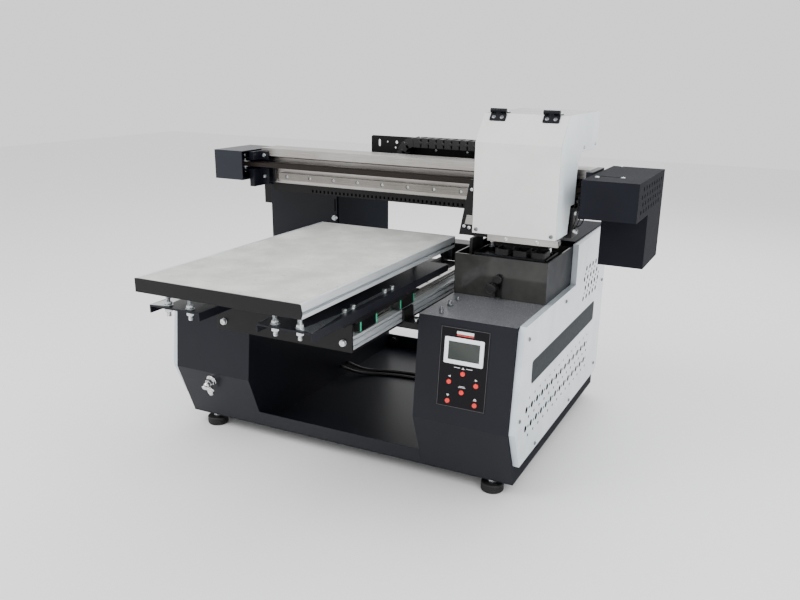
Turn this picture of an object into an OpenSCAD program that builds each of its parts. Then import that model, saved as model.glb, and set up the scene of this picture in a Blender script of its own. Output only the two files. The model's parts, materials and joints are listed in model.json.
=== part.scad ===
// Flatbed printer: a box-section chassis, a print table on two linear rails,
// and a hooded print carriage on a beam. Millimetres, +Z up, +Y to the rear.
// Lengths below are measured from the machine's middle plane (x), the face of
// the beam's rail (y) and the floor (z); place() moves all of it to the origin.

/* [Chassis] */
// Width over the two side columns
chassis_w = 760; // [700:5:840]
// Width of each side column
column_w = 190; // [170:5:200]
// Height of the column tops above the floor
column_top = 348; // [335:1:380]
// Top front edge of the columns, in front of the rail face
column_front = 229; // [215:1:280]
// Rear face of the chassis, behind the rail face
chassis_rear = 381; // [370:1:440]
// Height of the crease in the front faces
crease_z = 150; // [120:5:170]
// How far the crease stands in front of the top edge
crease_out = 21; // [5:1:30]
// How far the bottom edge lies behind the top edge
toe_in = 24; // [0:1:40]
// Height of the feet
foot_h = 30; // [25:1:45]
// Diameter of the feet
foot_d = 45; // [35:1:60]
// Height of the front and rear lips of the pan
lip_h = 38; // [25:1:60]
// Thickness of the chassis sheet
sheet_t = 2.5; // [1.5:0.5:4]
// Front face of the raised rear part, behind the rail face
upright_front = 120; // [116:1:140]
// Height of the raised rear part on the right
raised_top = 437; // [420:1:480]
// Thickness of each side cover
cover_t = 12; // [8:1:20]

/* [Table] */
// Width of the print table
table_w = 320; // [300:2:340]
// Length of the print table
table_l = 568; // [560:2:620]
// Height of the print surface
table_top = 447; // [445:1:449]
// Thickness of the table
table_t = 23; // [20:1:25]
// Front edge of the table at rest, in front of the rail face
table_front = 566; // [560:1:600]
// Travel of the table to the rear
table_travel = 460; // [300:10:470]

/* [Table rails] */
// Distance from the middle plane to each rail
rail_x = 123; // [115:1:126]
// Width of the rail extrusions
extrusion_w = 40; // [30:1:44]
// Height of the rail extrusions
extrusion_h = 24; // [20:1:26]
// Front end of the extrusions, in front of the rail face
extrusion_front = 388; // [385:1:420]
// Rear end of the extrusions, behind the rail face
extrusion_rear = 345; // [340:1:375]
// Width of the guide rails
guide_w = 15; // [12:1:20]
// Height of the guide rails
guide_h = 15; // [12:1:16]
// Width of the bearing blocks
block_w = 47; // [40:1:50]
// Length of the bearing blocks
block_l = 61; // [50:1:70]
// Distance between the two blocks on a rail
block_pitch = 150; // [120:5:160]

/* [Beam and carriage] */
// Length of the beam
beam_l = 744; // [740:2:750]
// Height of the beam
beam_h = 78; // [76:1:80]
// Height of the beam's underside
beam_z = 522; // [520:1:526]
// Distance from the middle plane to the beam's left end
beam_left = 314; // [310:1:320]
// Height of the carriage rail's middle line
rail_z = 539; // [538:1:540]
// Width of the hood
hood_w = 157; // [140:1:160]
// Left side of the hood at rest, from the middle plane
hood_left = 256; // [250:1:260]
// Travel of the carriage to the left
carriage_travel = 530; // [400:10:530]
// Pitch radius of the belt pulleys
pulley_r = 12; // [10:0.5:12]

/* [Controls] */
// Diameter of the push buttons
button_d = 9; // [8:0.5:12]
// Travel of the push buttons
button_travel = 1.2; // [0.8:0.1:2]
// Width of the display's frame
lcd_w = 76; // [70:1:80]
// Height of the display's frame
lcd_h = 49; // [45:1:52]

/* [Hidden] */
$fn = 48;
// Small gap between pieces that slide or roll past each other
run = 0.3;
// Radial clearance of a pin in its bore
fit = 0.05;
column_in = chassis_w / 2 - column_w;
column_out = chassis_w / 2;
crease_y = -column_front - crease_out;
toe_y = -column_front + toe_in;
lean = atan(crease_out / (column_top - crease_z));
box_left = -400;
box_right = 546;
mid_x = (box_left + box_right) / 2;
gland_out = 6;
mid_y = (chassis_rear + gland_out - table_front) / 2;

module place() translate([-mid_x, -mid_y, 0]) children();

// A block between two x, two y and two z values
module slab(x, y, z) {
  translate([x[0], y[0], z[0]]) cube([x[1] - x[0], y[1] - y[0], z[1] - z[0]]);
}

// A profile drawn in y and z, extruded from x0 to x1
module along_x(x0, x1) {
  translate([x0, 0, 0]) rotate([90, 0, 90]) linear_extrude(x1 - x0) children();
}

// A profile drawn in x and z, extruded from y0 to y1
module along_y(y0, y1) {
  translate([0, y1, 0]) rotate([90, 0, 0]) linear_extrude(y1 - y0) children();
}

module both_sides() {
  children();
  mirror([1, 0, 0]) children();
}

module rod_x(d, x0, x1, y, z) {
  translate([x0, y, z]) rotate([0, 90, 0]) cylinder(d = d, h = x1 - x0);
}

module rod_y(d, y0, y1, x, z) {
  translate([x, y1, z]) rotate([90, 0, 0]) cylinder(d = d, h = y1 - y0);
}

module rod_z(d, z0, z1, x, y) {
  translate([x, y, z0]) cylinder(d = d, h = z1 - z0);
}

// ---- chassis ----
pan_top = foot_h + sheet_t;

module base_pan() {
  lip_top = foot_h + lip_h;
  lip_y = toe_y - (crease_out + toe_in) * lip_h / (crease_z - foot_h);
  color("#23262f") {
    slab([-column_out, column_out], [toe_y, chassis_rear], [foot_h, pan_top]);
    along_x(-column_in, column_in) polygon([
      [toe_y, pan_top], [lip_y, lip_top], [lip_y + sheet_t, lip_top], [toe_y + sheet_t, pan_top]
    ]);
    difference() {
      slab([-column_in, column_in], [chassis_rear - sheet_t, chassis_rear], [pan_top, lip_top]);
      rod_y(gland_d, chassis_rear - 2 * sheet_t, chassis_rear + 1, gland_x, gland_z);
    }
  }
}

module column_side(inset) {
  polygon([
    [toe_y + inset, pan_top + inset], [crease_y + inset, crease_z],
    [-column_front + inset, column_top - inset], [chassis_rear - inset, column_top - inset],
    [chassis_rear - inset, pan_top + inset]
  ]);
}

module column_shell() {
  difference() {
    along_x(column_in, column_out) column_side(0);
    along_x(column_in + sheet_t, column_out - sheet_t) column_side(sheet_t);
  }
}

module column_left() {
  color("#23262f") difference() {
    mirror([1, 0, 0]) column_shell();
    on_lower() rod_y(valve_d, -6, 12, 0, 0);
    cover_screw_holes(-1);
  }
}

module column_right() {
  color("#23262f") difference() {
    column_shell();
    on_panel() for (b = BUTTONS) {
      translate([b[0], -1, b[1]]) rotate([-90, 0, 0]) cylinder(d = button_d + 2 * run, h = 20);
    }
    on_panel() slab([lcd_x[0] + 6, lcd_x[1] - 6], [-1, 20], [lcd_s[0] + 6, lcd_s[1] - 6]);
    for (p = TUBES) rod_z(tube_d + 2 * run, column_top - 10, column_top + 1, p, tube_y);
    cover_screw_holes(1);
  }
}

upright_rear = 372;
shelf_z = beam_z - 3;
post_x = [200, 320];
post_rear = 250;

module hollow_box(x, y, z, t) {
  difference() {
    slab(x, y, z);
    slab([x[0] + t, x[1] - t], [y[0] + t, y[1] - t], [z[0] + t, z[1] - t]);
  }
}

module upright_left() {
  color("#20242e") difference() {
    hollow_box([-column_out, -column_in], [upright_front, upright_rear], [column_top, shelf_z], sheet_t);
    rod_y(6, upright_front - 1, upright_front + 10, -column_in - 8, slot_bolt_z);
    cover_screw_holes(-1);
  }
}

module upright_right() {
  color("#20242e") {
    difference() {
      hollow_box([column_in, column_out], [upright_front, upright_rear], [column_top, raised_top], sheet_t);
      cover_screw_holes(1);
    }
    hollow_box(post_x, [upright_front, post_rear], [raised_top, shelf_z], sheet_t);
  }
}

slot_bolt_z = 434;

module upright_front_panel() {
  x = -column_in - 8;
  color("#23262f") {
    difference() {
      slab([-column_out + 1, -column_in - 3], [upright_front - sheet_t, upright_front], [column_top + 1, shelf_z - 20]);
      rod_y(6.4, upright_front - 2 * sheet_t, upright_front + 1, x, slot_bolt_z);
      slab([x - 1.5, x + 1.5], [upright_front - 2 * sheet_t, upright_front + 1], [slot_bolt_z + 14, slot_bolt_z + 44]);
    }
  }
  color("silver") {
    rod_y(12, upright_front - sheet_t - 5, upright_front - sheet_t, x, slot_bolt_z);
    rod_y(6, upright_front - sheet_t, upright_front + 9, x, slot_bolt_z);
  }
}

foot_x = 332;
FOOT_Y = [-184, 330];

module feet() {
  for (x = [-foot_x, foot_x], y = FOOT_Y) translate([x, y, 0]) {
    color("#1b1a1c") cylinder(d1 = foot_d - 5, d2 = foot_d, h = 4);
    color("#1b1a1c") translate([0, 0, 4]) cylinder(d = foot_d, h = foot_h - 12);
    color("#5b5e63") translate([0, 0, foot_h - 8]) cylinder(d = foot_d * 0.6, h = 8);
  }
}

// ---- side covers ----
cover_z = 74;
cover_rear = 368;
raised_front = upright_front - 11;
COVER = [
  [-column_front + 17, cover_z], [crease_y + 3, crease_z + 2], [-column_front + 6, column_top - 8],
  [-column_front + 14, column_top], [raised_front, column_top], [raised_front, raised_top - 3],
  [cover_rear, raised_top - 3], [cover_rear, cover_z + 16], [cover_rear - 16, cover_z]
];
LOW_COVER = [
  [-column_front + 17, cover_z], [crease_y + 3, crease_z + 2], [-column_front + 6, column_top - 8],
  [-column_front + 14, column_top], [cover_rear, column_top], [cover_rear, cover_z + 16], [cover_rear - 16, cover_z]
];
LOW_COVER_IN = [
  [-column_front + 19, cover_z + 2], [crease_y + 5, crease_z + 2], [-column_front + 8, column_top - 9],
  [-column_front + 15, column_top - 2], [cover_rear - 2, column_top - 2], [cover_rear - 2, cover_z + 17],
  [cover_rear - 17, cover_z + 2]
];
COVER_IN = [
  [-column_front + 19, cover_z + 2], [crease_y + 5, crease_z + 2], [-column_front + 8, column_top - 9],
  [-column_front + 15, column_top - 2], [raised_front + 2, column_top - 2], [raised_front + 2, raised_top - 5],
  [cover_rear - 2, raised_top - 5], [cover_rear - 2, cover_z + 17], [cover_rear - 17, cover_z + 2]
];
SCREWS = [
  [-195, 320], [40, 330], [350, 305], [345, 425], [-225, 172], [-120, 84], [120, 84], [335, 100]
];
cover_skin = 1;
vent_pitch = 32;
vent_d = 13;
small_vent_d = 6;
LOWER_VENTS = [for (i = [0:13], r = [0, 1]) [-187 + i * vent_pitch, 142 + r * 38, vent_d]];
SMALL_VENTS = [for (i = [0:13], r = [0:4]) [-171 + i * vent_pitch, 123 + r * 19, small_vent_d]];
UPPER_VENTS = [for (i = [0:4], r = [0:3]) [180 + i * 27 + (r % 2) * 13, 300 + r * 22, vent_d - 2]];
UPPER_SMALL = [for (i = [0:4], r = [0:2]) [186 + i * 27 + (r % 2) * 13, 311 + r * 22, small_vent_d]];

// The left cover ends at the column's top, and the right one also covers the raised part
function below(list, top) = [for (p = list) if (p[1] < top - 8) p];
VENTS = concat(LOWER_VENTS, SMALL_VENTS, UPPER_VENTS, UPPER_SMALL);

module cover_screw_holes(side) {
  top = side > 0 ? raised_top : column_top;
  for (s = below(SCREWS, top)) rod_x(4.4, side * column_out - 4, side * column_out + 4, s[0], s[1]);
}

module cover_shell(outer, inner, top) {
  difference() {
    along_x(column_out, column_out + cover_t) polygon(outer);
    along_x(column_out - 1, column_out + cover_t - cover_skin) polygon(inner);
    for (v = below(VENTS, top)) rod_x(v[2], column_out + cover_t - 3, column_out + cover_t + 1, v[0], v[1]);
    for (s = below(SCREWS, top)) rod_x(4.4, column_out + 1, column_out + cover_t + 1, s[0], s[1]);
  }
}

module side_cover_left() {
  color("#d8dde0") mirror([1, 0, 0]) cover_shell(LOW_COVER, LOW_COVER_IN, column_top);
}

module side_cover_right() {
  color("#d8dde0") cover_shell(COVER, COVER_IN, raised_top);
}

TOP_BOLTS = [[220, -117, 9], [221, -157, 13], [218, -191, 9], [227, -211, 9]];

module screws() {
  color("silver") for (side = [0, 1]) mirror([side, 0, 0]) for (s = below(SCREWS, side == 0 ? raised_top : column_top)) {
    rod_x(4, column_out - 3, column_out + cover_t, s[0], s[1]);
    rod_x(8, column_out + cover_t, column_out + cover_t + 2.5, s[0], s[1]);
  }
  color("silver") for (b = TOP_BOLTS) {
    rod_z(b[2], column_top, column_top + b[2] * 0.6, b[0], b[1]);
  }
}

// ---- control panel on the leaning front of the right column ----
lcd_x = [284.5 - lcd_w / 2, 284.5 + lcd_w / 2];
lcd_s = [117, 117 + lcd_h];
label_x = [237, 332];
label_s = [34, 184];
label_t = 1;
// Each button: x, height up the panel
BUTTONS = [[285, 100], [259, 82], [312, 82], [285, 65], [258.5, 45.5], [312, 45.5]];

// Frame of the panel: y is into the column, z runs up its face from the crease
module on_panel() translate([0, crease_y, crease_z]) rotate([-lean, 0, 0]) children();

module control_label() {
  color("#1f1b22") on_panel() difference() {
    slab(label_x, [-label_t, 0], label_s);
    slab([lcd_x[0] + 6, lcd_x[1] - 6], [-2, 1], [lcd_s[0] + 6, lcd_s[1] - 6]);
    for (b = BUTTONS) translate([b[0], -3, b[1]]) rotate([-90, 0, 0]) cylinder(d = button_d + 2 * run, h = 6);
  }
}

module display() {
  screen_x = [lcd_x[0] + 7.5, lcd_x[1] - 7.5];
  screen_s = [lcd_s[0] + 5.5, lcd_s[1] - 5.5];
  color("#c3cbdd") on_panel() difference() {
    slab(lcd_x, [-label_t - 3, -label_t], lcd_s);
    slab(screen_x, [-6, 1], screen_s);
  }
  color("#525c58") on_panel() {
    slab(screen_x, [-label_t - 1.5, -label_t], screen_s);
    slab([screen_x[0] - 1, screen_x[1] + 1], [-label_t, 9], [screen_s[0] + 1, screen_s[1] + 1 - 2]);
  }
  color("#1f5b3a") on_panel() slab([lcd_x[0], lcd_x[1]], [9, 10.6], [label_s[0], lcd_s[1]]);
}

// A round cap with a stem; the collar stays behind the sheet
module button(i) {
  color("#f5322f") on_panel() translate([BUTTONS[i][0], 0, BUTTONS[i][1]]) rotate([-90, 0, 0]) {
    translate([0, 0, -label_t - 2.2]) cylinder(d = button_d, h = label_t + 2.2 + sheet_t + 1);
    translate([0, 0, sheet_t + 1]) cylinder(d = button_d + 4, h = 2);
  }
}

// ---- drain valve on the left column ----
valve_x = -292;
valve_z = 132;
valve_d = 12;
lower_lean = atan((crease_out + toe_in) / (crease_z - foot_h));
stem_d = 5;

// Frame of the valve: -y points out of the column's lower front
module on_lower() {
  y = toe_y - (crease_out + toe_in) * (valve_z - foot_h) / (crease_z - foot_h);
  translate([valve_x, y, valve_z]) rotate([lower_lean, 0, 0]) children();
}

module drain_valve() {
  color("#c9ccd0") on_lower() difference() {
    union() {
      rod_y(valve_d - 2 * run, -6, 22, 0, 0);
      rod_y(24, -4, 0, 0, 0);
      rod_y(15, -26, -4, 0, 0);
      rod_z(11, -28, 0, 0, -16);
      rod_z(13, -30, -24, 0, -16);
    }
    rod_y(stem_d + 2 * fit, -27, -18, 0, 0);
    rod_z(7, -31, -4, 0, -16);
  }
}

module drain_handle() {
  color("#c9ccd0") on_lower() {
    rod_y(stem_d, -31, -19, 0, 0);
    rod_y(10, -31, -27, 0, 0);
    slab([0, 26], [-31, -28.5], [-3.5, 3.5]);
  }
}

// ---- electronics inside the columns ----
module electronics() {
  floor_z = pan_top + sheet_t;
  color("#9da1a5") slab([245, 295], [20, 235], [floor_z, floor_z + 115]);
  wall = -column_out + sheet_t;
  color("#1f5b3a") slab([wall + 10, wall + 11.6], [-60, 120], [120, 240]);
  color("#c9a95b") for (y = [-52, 112], z = [128, 232]) rod_x(6, wall, wall + 10, y, z);
}

// ---- cable held in the pan ----
gland_d = 20;
gland_x = -172;
gland_z = 52;
cable_r = 3.5;
CABLE = [
  [-189.5, 152, 58], [-183, 152.5, 57.6], [-172, 157, 52], [-156, 168, 43], [-134, 182, 37.5], [-108, 194, 36.4],
  [-74, 204, 36.2], [-30, 211, 36.2], [24, 214, 36.2], [84, 209, 36.2], [128, 199, 37], [156, 189, 43],
  [173, 181, 51], [183, 177.5, 55.6], [189.5, 177, 56]
];
SECOND_CABLE = [
  [-189.5, 120, 58], [-183, 120.5, 57.6], [-172, 126, 52], [-156, 139, 43], [-134, 154, 37.5], [-108, 168, 36.4],
  [-74, 179, 36.2], [-30, 185, 36.2], [24, 186, 36.2], [84, 181, 36.2], [128, 172, 37], [156, 163, 43],
  [173, 156, 51], [183, 152.5, 55.6], [189.5, 152, 56]
];

function unit(v) = v / norm(v);
function heading(path, i) =
  unit(path[min(i + 1, len(path) - 1)] - path[max(i - 1, 0)]);
function ring(path, i, r, n) =
  let (t = heading(path, i), a = unit(cross(t, [0, 0, 1])), b = cross(t, a))
  [for (k = [0:n - 1]) path[i] + r * (cos(360 * k / n) * a + sin(360 * k / n) * b)];

module sweep(path, r, n = 8) {
  m = len(path);
  points = [for (i = [0:m - 1]) each ring(path, i, r, n)];
  sides = [for (i = [0:m - 2], k = [0:n - 1])
    [i * n + k, (i + 1) * n + k, (i + 1) * n + (k + 1) % n, i * n + (k + 1) % n]];
  caps = [[for (k = [0:n - 1]) k], [for (k = [n - 1:-1:0]) (m - 1) * n + k]];
  polyhedron(points, concat(sides, caps));
}

module pan_cables() {
  color("#141416") sweep(CABLE, cable_r);
  color("#141416") sweep(SECOND_CABLE, cable_r);
  color("#1b1a1c") {
    rod_y(gland_d - 2 * run, chassis_rear - 12, chassis_rear + gland_out, gland_x, gland_z);
    rod_y(28, chassis_rear - sheet_t - 8, chassis_rear - sheet_t, gland_x, gland_z);
  }
}

// ---- table rails ----
deck_t = 4;
extrusion_z = column_top - extrusion_h - 6;
guide_z = extrusion_z + extrusion_h;
deck_z = extrusion_z - deck_t;
deck_rear = 300;
bar_y = [[-205, -165], [255, 295]];

module deck_plate() {
  half = rail_x + extrusion_w / 2;
  color("#202229") {
    slab([-half, half], [-extrusion_front, deck_rear], [deck_z, extrusion_z]);
    for (y = bar_y) {
      slab([-column_in, column_in], y, [deck_z - 8, deck_z]);
      both_sides() slab([half, column_in], y, [deck_z, deck_z + 5]);
      both_sides() slab([half, half + 5], y, [deck_z + 5, guide_z]);
    }
  }
  color("silver") both_sides() for (y = bar_y, s = [0.25, 0.75]) {
    rod_z(9, deck_z + 5, deck_z + 11, half + 26, y[0] + (y[1] - y[0]) * s);
  }
}

// Twin-slot extrusion: two grooves along each side
module extrusion_section() {
  w = extrusion_w / 2;
  h = extrusion_h;
  difference() {
    translate([-w, 0]) square([2 * w, h]);
    for (s = [-1, 1], z = [h * 0.27, h * 0.73]) {
      translate([s * w - 3, z - 1.8]) square([6, 3.6]);
      translate([s * (w - 4.5) - 2, z - 3]) square([4, 6]);
    }
  }
}

module y_extrusions() {
  color("#c2cad0") both_sides() along_y(-extrusion_front, extrusion_rear) {
    translate([rail_x, extrusion_z]) extrusion_section();
  }
}

module y_rails() {
  color("#b9b9b6") both_sides() difference() {
    along_y(-extrusion_front + 5, extrusion_rear - 3) translate([rail_x - guide_w / 2, guide_z]) {
      polygon([
        [0, 0], [guide_w, 0], [guide_w, 4], [guide_w - 1.6, 6], [guide_w, 8], [guide_w, guide_h],
        [0, guide_h], [0, 8], [1.6, 6], [0, 4]
      ]);
    }
    for (y = [-extrusion_front + 35:60:extrusion_rear - 20]) {
      rod_z(7.5, guide_z + guide_h - 5.5, guide_z + guide_h + 1, rail_x, y);
    }
  }
}

module y_front_plate() {
  half = rail_x + extrusion_w / 2;
  color("#202126") difference() {
    slab([-half, half], [-extrusion_front - 4, -extrusion_front], [deck_z, block_top - 2]);
    both_sides() rod_y(6.4, -extrusion_front - 5, -extrusion_front + 1, rail_x + 3, extrusion_z + 12);
  }
  color("silver") both_sides() rod_y(11, -extrusion_front - 9, -extrusion_front - 4, rail_x + 3, extrusion_z + 12);
}

// Toothed belt loop in the middle of the deck, over two pulleys with x axes
belt_t = 1.6;
y_belt_w = 15;
y_pulley_z = extrusion_z + pulley_r + 5;
y_idler_y = -355;
y_drive_y = 322;

module loop_2d(r, length) {
  hull_r = r;
  translate([0, -hull_r]) square([length, 2 * hull_r]);
  circle(r = hull_r);
  translate([length, 0]) circle(r = hull_r);
}

module belt_loop(r, length, width) {
  linear_extrude(width) difference() {
    loop_2d(r + belt_t, length);
    loop_2d(r, length);
  }
}

module y_belt() {
  color("#262428") translate([-y_belt_w / 2, y_idler_y, y_pulley_z]) rotate([90, 0, 90]) {
    belt_loop(pulley_r + run, y_drive_y - y_idler_y, y_belt_w);
  }
}

// Pulley about the z axis, standing on z = 0, with a flange at each end
module pulley(r, width, bore) {
  difference() {
    union() {
      cylinder(r = r, h = width + 4);
      cylinder(r = r + 3, h = 1.5);
      translate([0, 0, width + 2.5]) cylinder(r = r + 3, h = 1.5);
    }
    translate([0, 0, -1]) cylinder(d = bore, h = width + 6);
  }
}

y_shaft_d = 8;
y_pulley_half = (y_belt_w + 4) / 2;
fork_in = y_pulley_half + 1;
fork_out = fork_in + 5;
y_motor_half = 28;

module y_pulley_at(y, bore) {
  translate([-y_pulley_half, y, y_pulley_z]) rotate([90, 0, 90]) pulley(pulley_r, y_belt_w, bore);
}

module y_idler_pulley() {
  color("#9fa3a8") y_pulley_at(y_idler_y, y_shaft_d + 2 * fit);
}

module y_drive_pulley() {
  color("#9fa3a8") y_pulley_at(y_drive_y, y_shaft_d);
  color("#9fa3a8") rod_x(y_shaft_d, -y_pulley_half, fork_out + 20, y_drive_y, y_pulley_z);
}

// Fork with the idler's shaft, and the bracket with the motor
module y_motor() {
  fork_y = [y_idler_y - 9, y_idler_y + 9];
  bracket_y = [deck_rear - 30, y_drive_y + y_motor_half];
  bracket_z = [extrusion_z, y_pulley_z + y_motor_half];
  color("#4b4e55") both_sides() slab([fork_in, fork_out], fork_y, [extrusion_z, y_pulley_z + 12]);
  color("silver") rod_x(y_shaft_d, -fork_out - 3, fork_out + 3, y_idler_y, y_pulley_z);
  color("#4b4e55") difference() {
    slab([fork_in, fork_out], bracket_y, bracket_z);
    rod_x(y_shaft_d + 2, fork_in - 1, fork_out + 1, y_drive_y, y_pulley_z);
  }
  color("#1d1d20") difference() {
    slab([fork_out, fork_out + 70], [y_drive_y - 20, y_drive_y + y_motor_half], bracket_z);
    rod_x(y_shaft_d + 2 * fit, fork_out - 1, fork_out + 21, y_drive_y, y_pulley_z);
  }
}

// ---- table ----
block_mid = -265;
BLOCK_Y = [block_mid - block_pitch / 2, block_mid + block_pitch / 2];
block_bottom = guide_z + 4.3;
block_top = guide_z + 24;
seal_t = 5;
carriage_t = 4;
channel_t = 3;
channel_z = 381;
channel_top = 395;
channel_x = [56, table_w / 2];
bar_x = [132, 150];
PAIR_Y = [-405, -265];

module rail_slot(y0, y1) {
  slab([rail_x - guide_w / 2 - run, rail_x + guide_w / 2 + run], [y0, y1],
    [guide_z - 1, guide_z + guide_h + run]);
}

module y_blocks() {
  color("#3b3e45") both_sides() for (y = BLOCK_Y) difference() {
    slab([rail_x - block_w / 2, rail_x + block_w / 2], [y - block_l / 2 + seal_t, y + block_l / 2 - seal_t],
      [block_bottom, block_top]);
    rail_slot(y - block_l, y + block_l);
  }
}

module y_seals() {
  color("#2fa57c") both_sides() for (y = BLOCK_Y, s = [-1, 1]) {
    y0 = y + s * (block_l / 2 - seal_t / 2) - seal_t / 2;
    difference() {
      slab([rail_x - block_w / 2 + 1, rail_x + block_w / 2], [y0, y0 + seal_t], [block_bottom + 0.5, block_top - 0.6]);
      rail_slot(y0 - 1, y0 + seal_t + 1);
    }
  }
}

// Plate across the blocks, riser bars under the channels and the belt clamp
module table_carriage() {
  top = block_top + carriage_t;
  clamp_y = [block_mid - 18, block_mid + 18];
  clamp_top = y_pulley_z + pulley_r + run;
  color("#26282f") difference() {
    union() {
      slab([-150, 150], [block_mid - 120, block_mid + 120], [block_top, top]);
      both_sides() slab(bar_x, [-430, -200], [top, channel_top - channel_t]);
    }
    both_sides() for (y = PAIR_Y, s = [-14, 14]) {
      rod_z(5.2, channel_top - 14, channel_top, bar_x[1] - 5, y + s);
    }
  }
  color("#8f9398") difference() {
    slab([-14, 14], clamp_y, [clamp_top - 4, block_top]);
    slab([-y_belt_w / 2 - run, y_belt_w / 2 + run], [clamp_y[0] - 1, clamp_y[1] + 1],
      [clamp_top - 5, clamp_top + belt_t + run]);
  }
}

BOLTS = [[84, -526], [130, -526], [97, -60]];

module table_channels() {
  y = [-538, -30];
  color("#2b3039") both_sides() difference() {
    union() {
      slab(channel_x, y, [channel_top - channel_t, channel_top]);
      slab([channel_x[1] - sheet_t, channel_x[1]], y, [channel_z, channel_top - channel_t]);
      slab([channel_x[0], channel_x[0] + sheet_t], y, [channel_z, channel_top - channel_t]);
    }
    for (b = BOLTS) rod_z(9, channel_z, channel_top + 1, b[0], b[1]);
    for (y = PAIR_Y, s = [-14, 14]) rod_z(5.2, channel_z, channel_top + 1, bar_x[1] - 5, y + s);
  }
  color("silver") both_sides() for (y = PAIR_Y, s = [-14, 14]) {
    rod_z(5, channel_top - 10, channel_top, bar_x[1] - 5, y + s);
    rod_z(9, channel_top, channel_top + 5, bar_x[1] - 5, y + s);
  }
}

module levelling_bolts() {
  underside = table_top - table_t;
  color("#c6cacb") both_sides() for (b = BOLTS) translate([b[0], b[1], 0]) {
    translate([0, 0, channel_z - 5]) cylinder(d = 8, h = underside - channel_z + 5);
    translate([0, 0, channel_top]) cylinder(d = 15, h = 6.5, $fn = 6);
    translate([0, 0, channel_top - channel_t - 6.5]) cylinder(d = 15, h = 6.5, $fn = 6);
    translate([0, 0, underside - 2]) cylinder(d = 16, h = 2);
  }
}

panel_t = 6;
table_lip = 5;
cap_t = 3;

module table_panel() {
  y = [-table_front, table_l - table_front];
  half = table_w / 2;
  color("#c3c3c1") slab([-half + table_lip, half - table_lip], [y[0] + cap_t, y[1] - cap_t],
    [table_top - panel_t, table_top]);
  color("#8d9093") slab([-half + 20, half - 20], [y[0] + cap_t, y[1] - cap_t],
    [table_top - table_t, table_top - panel_t]);
}

module table_profiles() {
  y = [-table_front, table_l - table_front];
  half = table_w / 2;
  z0 = table_top - table_t;
  color("#b9c6cf") both_sides() along_y(y[0] + cap_t, y[1] - cap_t) difference() {
    union() {
      translate([half - 20, z0]) square([20, table_t - panel_t]);
      translate([half - table_lip, table_top - panel_t]) square([table_lip, panel_t]);
    }
    translate([half - 5, z0 + 6]) square([6, 5]);
    translate([half - 8, z0 + 4]) square([4, 9]);
  }
  color("#2c2a2d") for (e = [[y[0], y[0] + cap_t], [y[1] - cap_t, y[1]]]) {
    slab([-half, half], e, [z0, table_top]);
  }
}

// ---- gantry ----
beam_right = beam_l - beam_left;
beam_top = beam_z + beam_h;
beam_face = 15;
beam_rear = 56;
lip_out = 4;
strip_x = [-296, beam_right - 10];

module gantry_shelf() {
  color("#2b2929") difference() {
    union() {
      slab([strip_x[0], strip_x[1]], [beam_face - sheet_t, upright_front], [shelf_z, beam_z]);
      slab([-column_out, strip_x[1]], [upright_front, post_rear], [shelf_z, beam_z]);
      slab(strip_x, [beam_face - sheet_t, beam_face], [shelf_z - 15, shelf_z]);
        slab([box_left, -column_out], [upright_front, upright_front + sheet_t], [shelf_z - 66, beam_z]);
    }
    for (x = [-191:10:strip_x[1] - 6]) {
      slab([x - 2, x + 2], [beam_face - 4, beam_face + 1], [shelf_z - 12, shelf_z - 6]);
    }
  }
}

module beam_section() {
  difference() {
    polygon([
      [beam_face, beam_z], [beam_rear, beam_z], [beam_rear, beam_top], [-lip_out, beam_top],
      [-lip_out, beam_top - 17], [1, beam_top - 20], [beam_face, beam_top - 20]
    ]);
    translate([beam_face - 1, beam_z + 35]) square([5, 8]);
    translate([beam_face + 3, beam_z + 32]) square([4, 14]);
    for (z = [18, 58]) {
      translate([beam_rear - 4, beam_z + z - 4]) square([5, 8]);
      translate([beam_rear - 8, beam_z + z - 7]) square([4, 14]);
    }
    translate([beam_face + 14, beam_z + 6]) square([12, 24]);
    translate([beam_face + 14, beam_z + 38]) square([12, 24]);
  }
}

module beam() {
  color("#a9a4a0") along_x(-beam_left, beam_right) beam_section();
}

x_rail_left = -272;

module x_rail() {
  color("#c9c6c1") difference() {
    along_x(x_rail_left, beam_right - 8) polygon([
      [0, rail_z - guide_w / 2], [0, rail_z + guide_w / 2], [7, rail_z + guide_w / 2],
      [9, rail_z + guide_w / 2 - 1.6], [11, rail_z + guide_w / 2], [beam_face, rail_z + guide_w / 2],
      [beam_face, rail_z - guide_w / 2], [11, rail_z - guide_w / 2], [9, rail_z - guide_w / 2 + 1.6],
      [7, rail_z - guide_w / 2]
    ]);
    for (x = [-250.5:60:beam_right - 20]) rod_y(7.5, -1, 5.5, x, rail_z);
  }
}

belt_z = 565;
belt_w = 9;
belt_y = -15;
idler_x = -352;
drive_x = 470;

MOTOR = [497, 47];
stage_r = 20;
pinion_r = 8;
stage_z = [578, 589];

// Two discs of different radii and the straight band between them
module uneven_loop_2d(a, b, ra, rb) {
  d = norm(b - a);
  t = atan2(b[1] - a[1], b[0] - a[0]);
  k = acos((ra - rb) / d);
  translate(a) circle(r = ra);
  translate(b) circle(r = rb);
  polygon([
    a + ra * [cos(t + k), sin(t + k)], a + ra * [cos(t - k), sin(t - k)],
    b + rb * [cos(t - k), sin(t - k)], b + rb * [cos(t + k), sin(t + k)]
  ]);
}

module x_belts() {
  a = [drive_x, belt_y];
  color("#45403e") translate([idler_x, belt_y, belt_z - belt_w / 2]) {
    belt_loop(pulley_r + run, drive_x - idler_x, belt_w);
  }
  color("#262428") translate([0, 0, stage_z[0] + 1]) linear_extrude(9) difference() {
    uneven_loop_2d(a, MOTOR, stage_r + run + belt_t, pinion_r + run + belt_t);
    uneven_loop_2d(a, MOTOR, stage_r + run, pinion_r + run);
  }
}

bracket_x = [-beam_left - 12, -beam_left];

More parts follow.
